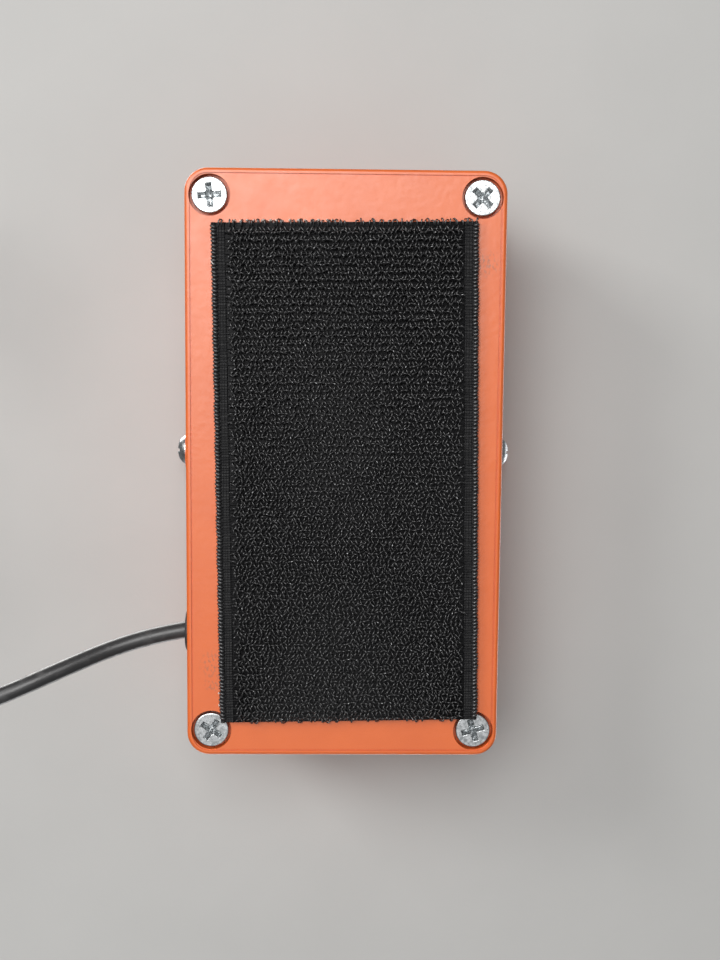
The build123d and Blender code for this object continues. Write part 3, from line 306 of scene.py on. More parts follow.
def moulded(name, colour, roughness, grain_size=0.25, depth=0.010, **sockets):
    """A plastic or rubber with moulding texture, faint flow marks and dust."""
    made = Surface(name, colour, roughness, **sockets)
    cloud = made.noise(4.0, 4.0)
    lighter = tuple(min(value * 1.25 + 0.004, 1.0) for value in colour)
    made.colour(made.blend(made.span(cloud, 0.4, 0.75), colour, lighter))
    made.roughness(made.span(cloud, 0.3, 0.7, roughness * 0.88, min(roughness * 1.15, 1.0)))
    made.relief((made.noise(grain_size, 3.0), depth), (made.noise(1.8, 1.0), depth))
    return made.material


DUST_FROM_Z = 40.6  # no dust below this height, and the most from DUST_FULL_Z up
DUST_FULL_Z = 41.4


def tread_rubber():
    """Black rubber with a stipple, and dust from shoes on its ribs."""
    made = Surface("tread_rubber", (0.020, 0.020, 0.021), 0.62)
    height = made.node("ShaderNodeSeparateXYZ", {0: made.place}).outputs["Z"]
    on_top = made.span(height, DUST_FROM_Z * MM, DUST_FULL_Z * MM)
    dust = made.maths("MULTIPLY", on_top, made.span(made.noise(5.0, 6.0), 0.40, 0.72, 0.0, 0.55))
    made.colour(made.blend(dust, (0.020, 0.020, 0.021), (0.075, 0.072, 0.068)))
    made.roughness(made.span(dust, 0.0, 0.5, 0.55, 0.78))
    made.relief((made.cells(0.45), 0.020), (made.noise(0.15, 2.0), 0.006))
    return made.material


def cord_jacket():
    """Satin black PVC with fine draw marks and scuffs."""
    made = Surface("cord_jacket", (0.030, 0.030, 0.031), 0.42, Specular_IOR_Level=0.7)
    scuff = made.span(made.noise(2.2, 5.0), 0.52, 0.75)
    made.colour(made.blend(scuff, (0.026, 0.026, 0.027), (0.050, 0.050, 0.051)))
    made.roughness(made.span(scuff, 0.0, 1.0, 0.38, 0.55))
    made.relief((made.noise(0.35, 3.0), 0.008), (made.noise(3.0, 1.0), 0.030))
    return made.material


def nylon_weave():
    """Black nylon ground cloth of the hook tape: crossed fine yarns."""
    made = Surface("nylon_weave", (0.008, 0.008, 0.009), 0.55, Specular_IOR_Level=0.28)
    shade = made.span(made.noise(0.5, 3.0), 0.3, 0.7)
    made.colour(made.blend(shade, (0.005, 0.005, 0.006), (0.012, 0.012, 0.013)))
    made.relief((made.waves(0.26, "X", 0.6), 0.030), (made.waves(0.30, "Y", 0.6), 0.030))
    return made.material


def nylon_hooks():
    """Drawn black monofilament with a gloss that glints."""
    made = Surface("nylon_hooks", (0.030, 0.030, 0.031), 0.31, Specular_IOR_Level=1.0)
    shade = made.span(made.noise(1.1, 2.0), 0.3, 0.7)
    made.colour(made.blend(shade, (0.018, 0.018, 0.019), (0.042, 0.042, 0.044)))
    made.relief((made.noise(0.12, 2.0), 0.004))
    return made.material


def painted_glint_nylon():
    """Pale grey painted glints on the cut ends of the black hooks."""
    made = Surface("painted_glint_nylon", (0.42, 0.43, 0.44), 0.15)
    # The pale grey colour is a painted glint, not the nylon's own colour.
    shade = made.span(made.noise(2.5, 2.0), 0.35, 0.65)
    made.colour(made.blend(shade, (0.20, 0.20, 0.21), (0.60, 0.61, 0.62)))
    made.relief((made.noise(0.08, 2.0), 0.010))
    return made.material


def woven_strap():
    """Black woven hook-and-loop strap."""
    made = Surface("tie_fabric", (0.020, 0.020, 0.022), 0.75, Sheen_Weight=0.3, Sheen_Roughness=0.5)
    shade = made.span(made.noise(0.8, 4.0), 0.3, 0.7)
    made.colour(made.blend(shade, (0.014, 0.014, 0.016), (0.034, 0.034, 0.037)))
    weft = made.waves(0.45, "X", 1.0)
    warp = made.waves(0.45, "Y", 1.0)
    made.relief((weft, 0.05), (warp, 0.05), (made.noise(0.2), 0.02))
    return made.material


def pale_foam():
    """Milky acrylic adhesive."""
    made = Surface("adhesive", (0.72, 0.66, 0.60), 0.45, Transmission_Weight=0.2)
    shade = made.span(made.noise(0.6, 3.0), 0.3, 0.7)
    made.colour(made.blend(shade, (0.78, 0.72, 0.66), (0.55, 0.50, 0.45)))
    made.relief((made.noise(0.3, 3.0), 0.05))
    return made.material


MATERIALS = {
    "orange_coat": powder_coat(),
    "zinc_screw": worn_zinc(),
    "hook_tape": nylon_weave(),
    "adhesive": pale_foam(),
    "steel": turned("steel", (0.74, 0.73, 0.71), 0.42),
    "gear_plastic": moulded("gear_plastic", (0.80, 0.78, 0.70), 0.42, Subsurface_Weight=0.1),
    "bronze": turned("bronze", (0.62, 0.42, 0.20), 0.38),
    "black_rubber": moulded("black_rubber", (0.022, 0.022, 0.023), 0.60, 0.3, 0.02),
    "pot_metal": plated("pot_metal", (0.70, 0.70, 0.68), 0.38),
    "phenolic": moulded("phenolic", (0.30, 0.16, 0.07), 0.50),
    "brass": turned("brass", (0.80, 0.58, 0.26), 0.28),
    "pvc_black": cord_jacket(),
    "white_plastic": moulded("white_plastic", (0.80, 0.80, 0.77), 0.40),
    "wire": moulded("wire", (0.50, 0.06, 0.04), 0.30),
    "tie_fabric": woven_strap(),
    "nickel": plated("nickel", (0.78, 0.76, 0.72), 0.20, 2.4, 0.005),
    "black_plastic": moulded("black_plastic", (0.020, 0.020, 0.020), 0.25),
}
HOOKS = nylon_hooks()

slot_of = {row["node"]: row["material_slot"] for row in frame["record"]["subparts"]}
for name, node in nodes.items():
    node.data.materials.clear()
    node.data.materials.append(MATERIALS[slot_of[name]])
nodes["tread_pad"].data.materials[0] = tread_rubber()
cord.data.materials.append(MATERIALS["pvc_black"])


# ---- Mesh pieces ----
class Shape:
    """Vertices in mm and faces, gathered for one piece."""

    def __init__(self):
        self.points = []
        self.faces = []

    def tube(self, path, radius, sides=5):
        """A closed tube along a path. radius is one number, or one for each point."""
        path = [Vector(point) for point in path]
        radii = radius if isinstance(radius, (list, tuple)) else [radius] * len(path)
        first = len(self.points)
        side = (path[1] - path[0]).orthogonal().normalized()
        for index, point in enumerate(path):
            along = (path[min(index + 1, len(path) - 1)] - path[max(index - 1, 0)]).normalized()
            side = (side - along * side.dot(along)).normalized()
            other = along.cross(side)
            for corner in range(sides):
                angle = TURN * corner / sides
                offset = side * math.cos(angle) + other * math.sin(angle)
                self.points.append(point + offset * radii[index])
        for index in range(len(path) - 1):
            for corner in range(sides):
                here = first + index * sides
                following = (corner + 1) % sides
                self.faces.append(
                    (here + corner, here + following, here + following + sides, here + corner + sides)
                )
        last = first + (len(path) - 1) * sides
        self.faces.append(tuple(first + corner for corner in reversed(range(sides))))
        self.faces.append(tuple(last + corner for corner in range(sides)))

    def grid(self, rows, wrap=False):
        """Faces over rows of points, each row as long as the next. wrap joins each row's ends."""
        first = len(self.points)
        width = len(rows[0])
        for row in rows:
            self.points.extend(Vector(point) for point in row)
        for index in range(len(rows) - 1):
            for column in range(width if wrap else width - 1):
                here = first + index * width
                following = (column + 1) % width
                self.faces.append(
                    (here + column, here + following, here + following + width, here + column + width)
                )
        return first

    def capped_rings(self, rows):
        """A closed shape over rings of points, with a face over each end."""
        sides = len(rows[0])
        first = self.grid(rows, wrap=True)
        last = first + (len(rows) - 1) * sides
        self.faces.append(tuple(first + step for step in reversed(range(sides))))
        self.faces.append(tuple(last + step for step in range(sides)))

    def piece(self, name, material, slot, move=None):
        """The piece, riding on the base, with its points moved by a matrix in mm."""
        mesh = bpy.data.meshes.new(name)
        points = [move @ point for point in self.points] if move else self.points
        mesh.from_pydata([tuple(point * MM) for point in points], [], self.faces)
        mesh.polygons.foreach_set("use_smooth", [True] * len(mesh.polygons))
        mesh.materials.append(material)
        made = bpy.data.objects.new(name, mesh)
        scene.collection.objects.link(made)
        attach(made, "base")
        return made


# ---- Hook tape: ground cloth, weft ribs, floats, woven edges, hooks and stitches, in the tape's axes ----
TAPE_WIDTH = 49.9
TAPE_LENGTH = 95.4
TAPE_TURN = -0.9  # degrees
TAPE_AT = (0.5, 1.3, 0)
TAPE_MOVE = Matrix.Translation(TAPE_AT) @ Matrix.Rotation(math.radians(TAPE_TURN), 4, "Z")
TAPE_TOP = 2.0
BACKING_Z = 1.45  # the cloth's lower face between its yarns
SELVAGE = 2.6
ROW_PITCH = 1.47
HOOK_PITCH = 0.8
FLOAT_PITCH = 0.8
END_GAP = 0.5  # bare cloth at each end of the rows
HALF_W = TAPE_WIDTH / 2
HALF_L = TAPE_LENGTH / 2
FIELD_HALF = HALF_W - SELVAGE
ROWS = int((TAPE_LENGTH - 2 * END_GAP) / ROW_PITCH)


def jitter(amount):
    return random.uniform(-amount, amount)


def row_y(row):
    return (row - (ROWS - 1) / 2) * ROW_PITCH


def slab(shape, corner, opposite):
    """A closed box between two corners."""
    xs, ys, zs = zip(corner, opposite)
    first = len(shape.points)
    shape.points.extend(Vector((x, y, z)) for z in zs for y in ys for x in xs)
    for face in ((0, 2, 3, 1), (4, 5, 7, 6), (0, 1, 5, 4), (2, 6, 7, 3), (0, 4, 6, 2), (1, 3, 7, 5)):
        shape.faces.append(tuple(first + index for index in face))


SELVAGE_ACROSS = 16  # faces across and along each woven edge
SELVAGE_ALONG = 700
CORDED = 1.0  # width of the corded outer yarn
KNOT_PITCH_CORD = 0.70
KNOT_PITCH_BAND = 0.50
YARN_PITCH = 0.53
WANDER = 0.05  # how far the outer side strays from a straight line
WANDER_RATE = 0.9  # radians for each mm along


def selvage_rise(inward, knot):
    """How far the edge stands out, by the distance in from its outer side and the knot's height."""
    if inward < CORDED:
        round_edge = math.sin(math.pi * min(inward / CORDED + 0.04, 1.0))
        return 0.10 + 0.42 * round_edge * (0.55 + 0.45 * knot)
    yarn = abs(math.sin(math.pi * (inward - CORDED) / YARN_PITCH))
    return 0.10 + 0.30 * yarn * (0.15 + 0.85 * knot)


def selvage(shape, side):
    """A woven edge: a corded outer yarn, then a flat band with weft ridges."""
    rows = []
    for step_y in range(SELVAGE_ALONG + 1):
        y = -HALF_L + TAPE_LENGTH * step_y / SELVAGE_ALONG
        wander = WANDER * math.sin(y * WANDER_RATE) + 0.03 * math.sin(y * 2.7 + side)
        row = []
        for step_x in range(SELVAGE_ACROSS + 1):
            inward = SELVAGE * step_x / SELVAGE_ACROSS
            pitch = KNOT_PITCH_CORD if inward < CORDED else KNOT_PITCH_BAND
            knot = 0.5 + 0.5 * math.cos(TURN * (y + wander) / pitch)
            edge = wander if inward < 0.3 else 0
            height = BACKING_Z + 0.12 - selvage_rise(inward, knot)
            row.append((side * (HALF_W - inward + edge - 0.06), y, height))
        rows.append(row if side > 0 else row[::-1])
    first = shape.grid(rows)
    # A skirt of faces closes the band against the backing.
    width = SELVAGE_ACROSS + 1
    rim = [first + column for column in range(width)]
    rim += [first + index * width + SELVAGE_ACROSS for index in range(1, SELVAGE_ALONG + 1)]
    rim += [first + SELVAGE_ALONG * width + column for column in range(SELVAGE_ACROSS - 1, -1, -1)]
    rim += [first + index * width for index in range(SELVAGE_ALONG - 1, 0, -1)]
    lower = len(shape.points)
    for index in rim:
        point = shape.points[index]
        shape.points.append(Vector((point.x, point.y, TAPE_TOP)))
    count = len(rim)
    for index in range(count):
        following = (index + 1) % count
        shape.faces.append((rim[following], rim[index], lower + index, lower + following))
    shape.faces.append(tuple(lower + index for index in range(count)))


RIB_R = 0.15
RIB_STEPS = 64


def weft_rib(shape, y):
    """A yarn across the tape that sways a little."""
    phase = jitter(3.0)
    path = []
    for step in range(RIB_STEPS + 1):
        x = -FIELD_HALF + 2 * FIELD_HALF * step / RIB_STEPS
        sway = 0.05 * math.sin(x * 0.7 + phase) + jitter(0.03)
        path.append((x, y + sway, BACKING_Z - 0.10 + jitter(0.06)))
    shape.tube(path, RIB_R, 6)


FLOAT_R = 0.14
FLOAT_LEANS = (-0.34, -0.22, 0.22, 0.34)


def float_yarn(shape, x, y):
    """A short slanted yarn that passes over a rib and back into the cloth."""
    lean = random.choice(FLOAT_LEANS) + jitter(0.10)
    low = BACKING_Z + 0.02
    middle = y + jitter(0.16)
    path = [
        (x - lean, middle - 0.60, low),
        (x - lean * 0.6, middle - 0.32, BACKING_Z - 0.50 + jitter(0.08)),
        (x + lean * 0.5, middle + 0.28, BACKING_Z - 0.62 + jitter(0.10)),
        (x + lean, middle + 0.62, low),
    ]
    shape.tube(path, FLOAT_R, 5)


weave = Shape()
floats = Shape()
INNER_X = FIELD_HALF + 0.1  # the cloth's side under the woven edge
slab(weave, (-INNER_X, -HALF_L, BACKING_Z), (INNER_X, HALF_L, TAPE_TOP))
for side in (-1, 1):
    selvage(weave, side)
FLOATS_PER_ROW = int(2 * FIELD_HALF / FLOAT_PITCH) - 1
for row in range(ROWS):
    weft_rib(weave, row_y(row))
    shift = (row % 2 - 0.5) * FLOAT_PITCH / 2
    for number in range(FLOATS_PER_ROW):
        x = (number - (FLOATS_PER_ROW - 1) / 2) * FLOAT_PITCH + shift + jitter(0.14)
        float_yarn(floats, x, row_y(row))
tape_weave = weave.piece("hook_tape_weave", MATERIALS["hook_tape"], "hook_tape", TAPE_MOVE)
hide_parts("hook_tape")
floats.piece("hook_tape_floats", HOOKS, "hook_tape", TAPE_MOVE)

# Each hook rises from the cloth, arches over and turns back down, leaning across its own plane, so
# that it shows as a small arch. A stub stands beside it, and some cut ends carry a pale painted glint.
HOOK_WIRE = 0.125
HOOK_SHAPE = [(0.0, 1.55), (0.05, 0.55), (0.26, 0.18), (0.58, 0.17), (0.80, 0.42), (0.86, 0.80)]
HOOK_BEARINGS = (20, 60, 90, 120, 130, 160)  # degrees
HOOK_FOOT_BACK = 0.42  # from the arch's middle to its foot
LEAN_ABOUT_Z = 0.8
STUB_SHAPE = [(0.0, 1.55), (-0.06, 0.95), (-0.20, 0.60)]
SQUASHED_CHANCE = 0.25
GLINT_CHANCE = 0.07
HOOKS_PER_ROW = int(2 * (FIELD_HALF - 0.2) / HOOK_PITCH) + 1

hooks = Shape()
stubs = Shape()
painted_glints = Shape()


def hook(x, y):
    """A hook over a place on the tape, with its stub and perhaps a cut end with a pale painted glint."""
    bearing = math.radians(random.choice(HOOK_BEARINGS) + random.gauss(0, 14))
    ahead = Vector((math.cos(bearing), math.sin(bearing), 0))
    across = Vector((-ahead.y, ahead.x, 0)) * (1 if ahead.x > 0 else -1)
    size = random.uniform(0.80, 1.10)
    lean = random.uniform(0.15, 0.50)
    squashed = random.uniform(0.0, 0.30) if random.random() < SQUASHED_CHANCE else 0.0
    foot = Vector((x, y, 0)) - ahead * HOOK_FOOT_BACK
    for shape, profile, reach in ((hooks, HOOK_SHAPE, size), (stubs, STUB_SHAPE, 1.0)):
        path = []
        for out, height in profile:
            sideways = across * lean * (height - LEAN_ABOUT_Z)
            lift = Vector((0, 0, height + squashed * out * 0.5))
            path.append(foot + ahead * out * reach + sideways + lift)
        shape.tube(path, HOOK_WIRE, 4)
    # Some cut ends get a pale grey colour as a painted glint.
    if random.random() < GLINT_CHANCE:
        tip = foot + ahead * 0.44 * size - across * lean * 0.63 + Vector((0, 0, 0.09))
        reach = ahead * random.uniform(0.06, 0.16)
        painted_glints.tube([tip - reach, tip, tip + reach], [0.06, 0.085, 0.06], 5)


for row in range(ROWS):
    shift = (row % 2 - 0.5) * HOOK_PITCH
    for number in range(HOOKS_PER_ROW):
        x = (number - (HOOKS_PER_ROW - 1) / 2) * HOOK_PITCH + shift + jitter(0.16)
        if abs(x) <= FIELD_HALF - 0.1:
            hook(x, row_y(row) + ROW_PITCH / 2 + jitter(0.20))
hooks.piece("hook_tape_hooks", HOOKS, "hook_tape", TAPE_MOVE)
stubs.piece("hook_tape_stubs", HOOKS, "hook_tape", TAPE_MOVE)
painted_glints.piece("hook_tape_painted_glints", painted_glint_nylon(), "hook_tape", TAPE_MOVE)

STITCH_PITCH = 0.7
STITCH_RADII = [0.20, 0.25, 0.27, 0.20]


def stitch(shape, side, y):
    """A slanted stitch over an outer edge."""
    slant = 0.16 + jitter(0.05)
    edge = HALF_W + WANDER * math.sin(y * WANDER_RATE) + jitter(0.03)
    path = [
        (side * (edge + 0.02), y - slant, 1.75),
        (side * (edge - 0.16), y - slant / 2, 1.20 + jitter(0.04)),
        (side * (edge - 0.62), y + slant / 2, 1.06 + jitter(0.05)),
        (side * (edge - 1.06), y + slant, 1.45),
    ]
    shape.tube(path, STITCH_RADII, 6)


stitches = Shape()
for side in (-1, 1):
    for number in range(int(TAPE_LENGTH / STITCH_PITCH) - 1):
        stitch(stitches, side, -HALF_L + (number + 1) * STITCH_PITCH + jitter(0.06))
stitches.piece("tape_edge_stitches", HOOKS, "hook_tape", TAPE_MOVE)

FRAY_RADII = [0.12, 0.16, 0.15, 0.12, 0.08]
FRAY_FROM = 1.6  # from the tape's side to the first fray


def fray(shape, end, x, longest):
    """A cut loop that curls over an end of the tape: -1 for the heel end, 1 for the toe end."""
    reach = random.uniform(*longest)
    sideways = jitter(0.7)
    y = end * HALF_L
    path = [
        (x, y - end * 0.8, 1.3),
        (x + sideways * 0.2, y + end * reach * 0.45, 1.1 + jitter(0.15)),
        (x + sideways * 0.6, y + end * reach * 0.95, 1.3 + jitter(0.2)),
        (x + sideways * 1.1, y + end * reach, 1.7),
        (x + sideways * 1.3, y + end * reach * 0.72, 1.95),
    ]
    shape.tube(path, FRAY_RADII, 5)


frays = Shape()
for end, pitch, chance, longest in ((-1, 0.62, 0.8, (0.12, 0.60)), (1, 1.5, 0.5, (0.10, 0.30))):
    for number in range(int(TAPE_WIDTH / pitch) - 2):
        if random.random() <= chance:
            fray(frays, end, -HALF_W + FRAY_FROM + number * pitch + jitter(0.3), longest)
frays.piece("tape_frays", HOOKS, "hook_tape", TAPE_MOVE)

# ---- Beads of adhesive squeezed out along the tape's edges, and one white fibre ----
FACE_Z = 2.4
BEAD_RINGS = 5
BEAD_SIDES = 12


def bead(shape, x, y, length, width, height, turn):
    """A smooth low drop on the cover's face, longer along its own axis, with uneven edges."""
    rows = []
    wobble = [random.uniform(0.75, 1.2) for _ in range(BEAD_SIDES)]
    for ring in range(BEAD_RINGS + 1):
        fall = math.pi / 2 * ring / BEAD_RINGS
        row = []
        for step in range(BEAD_SIDES):
            angle = TURN * step / BEAD_SIDES
            out = math.sin(fall) * (1 + (wobble[step] - 1) * ring / BEAD_RINGS)
            local = Vector((math.cos(angle) * length / 2 * out, math.sin(angle) * width / 2 * out, 0))
            local.rotate(Matrix.Rotation(turn, 3, "Z"))
            row.append(Vector((x, y, FACE_Z)) + local - Vector((0, 0, height * math.cos(fall))))
        rows.append(row)
    first = shape.grid(rows, wrap=True)
    shape.faces.append(tuple(first + step for step in range(BEAD_SIDES)))
    last = first + BEAD_RINGS * BEAD_SIDES
    shape.faces.append(tuple(last + step for step in reversed(range(BEAD_SIDES))))


HEEL_BEADS = 15
LARGE_HEEL_BEADS = 12
TOE_BEADS = 26
LOOSE_BEADS = [
    (-HALF_W + 0.6, HALF_L + 0.25),
    (-HALF_W - 0.15, HALF_L - 5.6),
    (-HALF_W - 0.2, HALF_L - 3.1),
]

beads = Shape()
for number in range(HEEL_BEADS):
    x = -HALF_W + 4.0 + number * 1.35 + jitter(0.35)
    length = random.uniform(0.6, 1.1) * (1.0 if number < LARGE_HEEL_BEADS else 0.6)
    bead(beads, x, -HALF_L - 0.34 + jitter(0.1), length, 0.62, 0.9, jitter(0.3))
for number in range(TOE_BEADS):
    x = -HALF_W + 3.0 + number * 1.8 + jitter(0.8)
    bead(beads, x, HALF_L + 0.12, random.uniform(0.3, 0.8), 0.35, 0.35, jitter(0.3))
for x, y in LOOSE_BEADS:
    bead(beads, x, y, 0.7, 0.4, 0.3, jitter(1.5))
beads.piece("adhesive_beads", MATERIALS["adhesive"], "adhesive", TAPE_MOVE)

LINT_PATH = [(-25.2, -39.0, 0.95), (-24.9, -38.6, 0.85), (-24.5, -38.1, 0.95)]
LINT_RADII = [0.05, 0.07, 0.05]
lint = Shape()
lint.tube(LINT_PATH, LINT_RADII, 6)
lint.piece("lint", MATERIALS["white_plastic"], "white_plastic")

# ---- Screws of the cover: a flat head with a V-shaped cross recess, over a plain shank ----
CROSS_TURNS = {(-1, -1): -5.0, (1, -1): 44.0, (-1, 1): 32.0, (1, 1): -16.0}  # degrees, by corner
SCREW_AT = (25.55, 51.2)
HEAD_R = 3.36
HEAD_EDGE = 0.22
HEAD_FACE_Z = FACE_Z + 0.15
HEAD_BACK_Z = FACE_Z + 2.1
SHANK_R = 1.75
SHANK_END_Z = FACE_Z + 10.1
CROSS_HALF = 2.25
ARM_HALF = 0.56
CROSS_CORE = 0.90
CROSS_SOFT = 0.12  # how softly the arms melt into the core
CROSS_SLOPE = 1.9
CROSS_DEPTH = 1.5
HEAD_SIDES = 160
HEAD_CENTRE_R = 0.03
FLAT_RINGS = 60
EDGE_RINGS = 5


def cross_depth(x, y):
    """How deep the recess is at a place on the head: V-shaped arms that melt into a round core."""
    arm_x = min(ARM_HALF - abs(y), CROSS_HALF - abs(x))
    arm_y = min(ARM_HALF - abs(x), CROSS_HALF - abs(y))
    arms = math.exp(max(arm_x, arm_y) / CROSS_SOFT)
    core = math.exp((CROSS_CORE - math.hypot(x, y)) / CROSS_SOFT)
    inside = CROSS_SOFT * math.log(arms + core)
    return min(max(inside, 0.0) * CROSS_SLOPE, CROSS_DEPTH)


def screw(shape, centre, turn):
    """A screw from the middle of its head, out over the edge and up to the shank's end."""
    flat = HEAD_R - HEAD_EDGE
    rings = []
    for step in range(FLAT_RINGS + 1):
        rings.append((HEAD_CENTRE_R + (flat - HEAD_CENTRE_R) * step / FLAT_RINGS, 0.0))
    for step in range(1, EDGE_RINGS + 1):
        angle = math.pi / 2 * step / EDGE_RINGS
        rings.append((flat + HEAD_EDGE * math.sin(angle), HEAD_EDGE * (1 - math.cos(angle))))
    back = HEAD_BACK_Z - HEAD_FACE_Z
    rings += [(HEAD_R, back), (SHANK_R, back), (SHANK_R, SHANK_END_Z - HEAD_FACE_Z)]
    spin = Matrix.Rotation(math.radians(turn), 3, "Z")
    rows = []
    for radius, rise in rings:
        row = []
        for step in range(HEAD_SIDES):
            angle = TURN * step / HEAD_SIDES
            x, y = radius * math.cos(angle), radius * math.sin(angle)
            depth = cross_depth(x, y) if rise == 0.0 else rise
            row.append(Vector((*centre, HEAD_FACE_Z)) + spin @ Vector((x, y, depth)))
        rows.append(row)
    shape.capped_rings(rows)


screws = Shape()
for (side_x, side_y), turn in CROSS_TURNS.items():
    screw(screws, (side_x * SCREW_AT[0], side_y * SCREW_AT[1]), turn)
screw_piece = screws.piece("cover_screws_cross", MATERIALS["zinc_screw"], "zinc_screw")
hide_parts("cover_screws")

# ---- Straps round the coil: a loop with its end lapped over ----
COIL_TOP = COIL_BASE + CORD_D * COIL_LAYERS
COIL_HALF_R = COIL_SPREAD + CORD_D / 2
COIL_HALF_H = (COIL_TOP - COIL_BASE) / 2
TIE_SWEEP = 26.0  # degrees
TIE_ANGLES = (-55.0, 105.0)
TIE_THICK = 0.7
TIE_GAP = 0.08
TIE_STEPS = 90
TIE_ACROSS = 6
TIE_TAPERED = 6  # steps that narrow towards the strap's end
LAP = 0.22  # share of the loop that the strap's end covers twice
LAP_FROM = 0.94  # share of the loop where the end starts to climb over the beginning
LAP_CLIMB = 0.06
FLOOR_CLEAR = 0.02


def loop_point(share, off):
    """A point on the rounded box round the coil's section, at a share of the way round from its
    outer side, and the distance off it: (radius from the coil's middle, height)."""
    corner = CORD_D / 2
    flat_r = COIL_HALF_R - corner
    flat_h = COIL_HALF_H - corner
    arc = math.pi / 2 * corner
    lengths = [flat_h, arc, 2 * flat_r, arc, 2 * flat_h, arc, 2 * flat_r, arc, flat_h]
    run = (share % 1.0) * sum(lengths)
    for index, length in enumerate(lengths):
        if run <= length or index == len(lengths) - 1:
            break
        run -= length
    centres = {1: (flat_r, flat_h), 3: (-flat_r, flat_h), 5: (-flat_r, -flat_h), 7: (flat_r, -flat_h)}
    if index in centres:
        angle = math.pi / 2 * ((index - 1) / 2 + run / arc)
        r, h = centres[index]
        r += (corner + off) * math.cos(angle)
        h += (corner + off) * math.sin(angle)
    elif index in (0, 8):
        r, h = COIL_HALF_R + off, run if index == 0 else run - flat_h
    elif index == 2:
        r, h = flat_r - run, COIL_HALF_H + off
    elif index == 4:
        r, h = -COIL_HALF_R - off, flat_h - run
    else:
        r, h = run - flat_r, -COIL_HALF_H - off
    return COIL_MID_R + r, (COIL_TOP + COIL_BASE) / 2 + h


def strap_rows(tie_angle, face):
    """Rows of points along a strap's inner face, 0, or its outer face, 1."""
    rows = []
    for step in range(TIE_STEPS + 1):
        along = (1 + LAP) * step / TIE_STEPS
        lift = min(max((along - LAP_FROM) / LAP_CLIMB, 0.0), 1.0) * (TIE_THICK + TIE_GAP)
        radius, height = loop_point(0.02 + along, TIE_GAP + lift + face * TIE_THICK)
        from_taper = step - TIE_STEPS + TIE_TAPERED
        taper = 1.0 - 0.04 * max(from_taper, 0) ** 1.2
        row = []
        for column in range(TIE_ACROSS + 1):
            width = (column / TIE_ACROSS - 0.5) * TIE_SWEEP
            angle = math.radians(tie_angle + width * taper)
            x = COIL_CENTRE[0] + radius * math.cos(angle)
            y = COIL_CENTRE[1] + radius * math.sin(angle)
            row.append((x, y, max(height, FLOOR_CLEAR + 0.04 * (1 - face))))
        rows.append(row if face else row[::-1])
    return rows


def strap(shape, tie_angle):
    """One strap: two faces, closed along both sides and at both ends."""
    inner, outer = [shape.grid(strap_rows(tie_angle, face)) for face in (0, 1)]
    last = TIE_ACROSS
    for step in range(TIE_STEPS):
        here = step * (last + 1)
        following = here + last + 1
        shape.faces.append((inner + here + last, inner + following + last, outer + following, outer + here))
        shape.faces.append((inner + following, inner + here, outer + here + last, outer + following + last))
    for end, flip in ((0, False), (TIE_STEPS * (last + 1), True)):
        for column in range(last):
            face = (
                inner + end + last - column,
                outer + end + column,
                outer + end + column + 1,
                inner + end + last - 1 - column,
            )
            shape.faces.append(face[::-1] if flip else face)


ties = Shape()
for tie_angle in TIE_ANGLES:
    strap(ties, tie_angle)
cord_ties = ties.piece("coil_straps", MATERIALS["tie_fabric"], "tie_fabric")
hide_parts("cord_ties")

# ---- Plug: knurled shell and ribbed boot, turned about the plug's axis ----
PLUG_AT = Vector((-119.5, 2.0, 7.0))
PLUG_TURN = math.radians(15.0)
PLUG_AXIS = Vector((math.sin(PLUG_TURN), -math.cos(PLUG_TURN), 0))
PLUG_SIDE = Vector((0, 0, 1))
PLUG_OTHER = PLUG_AXIS.cross(PLUG_SIDE)
BOOT_LENGTH = 16.0
SHELL_LENGTH = 28.0
SHELL_R = 7.0
SHELL_GROOVE = 0.35
KNURL_FROM = BOOT_LENGTH + 3.0
KNURL_LENGTH = 16.0
KNURL_STEPS = 80
KNURL_COUNT = 22
KNURL_RATE = 3.0  # radians for each mm along
KNURL_DEPTH = 0.22
KNURL_FADE = 0.5


def lathe(shape, outline, sides, relief=None):
    """A turned shape about the plug's axis. outline is (distance along, radius) from end to end."""
    rows = []
    for along, radius in outline:
        row = []
        for step in range(sides):
            angle = TURN * step / sides
            off = relief(along, angle) if relief else 0.0
            spoke = PLUG_SIDE * math.cos(angle) + PLUG_OTHER * math.sin(angle)
            row.append(PLUG_AT + PLUG_AXIS * along + spoke * (radius - off))
        rows.append(row)
    shape.capped_rings(rows)


def knurl(along, angle):
    """Diamond knurling between the shell's two grooves."""
    from_end = min(along - KNURL_FROM, KNURL_FROM + KNURL_LENGTH - along)
    fade = min(max(from_end / KNURL_FADE, 0.0), 1.0)
    first = abs(math.sin(KNURL_COUNT * angle + along * KNURL_RATE))
    second = abs(math.sin(KNURL_COUNT * angle - along * KNURL_RATE))
    return KNURL_DEPTH * fade * (1 - min(first, second))


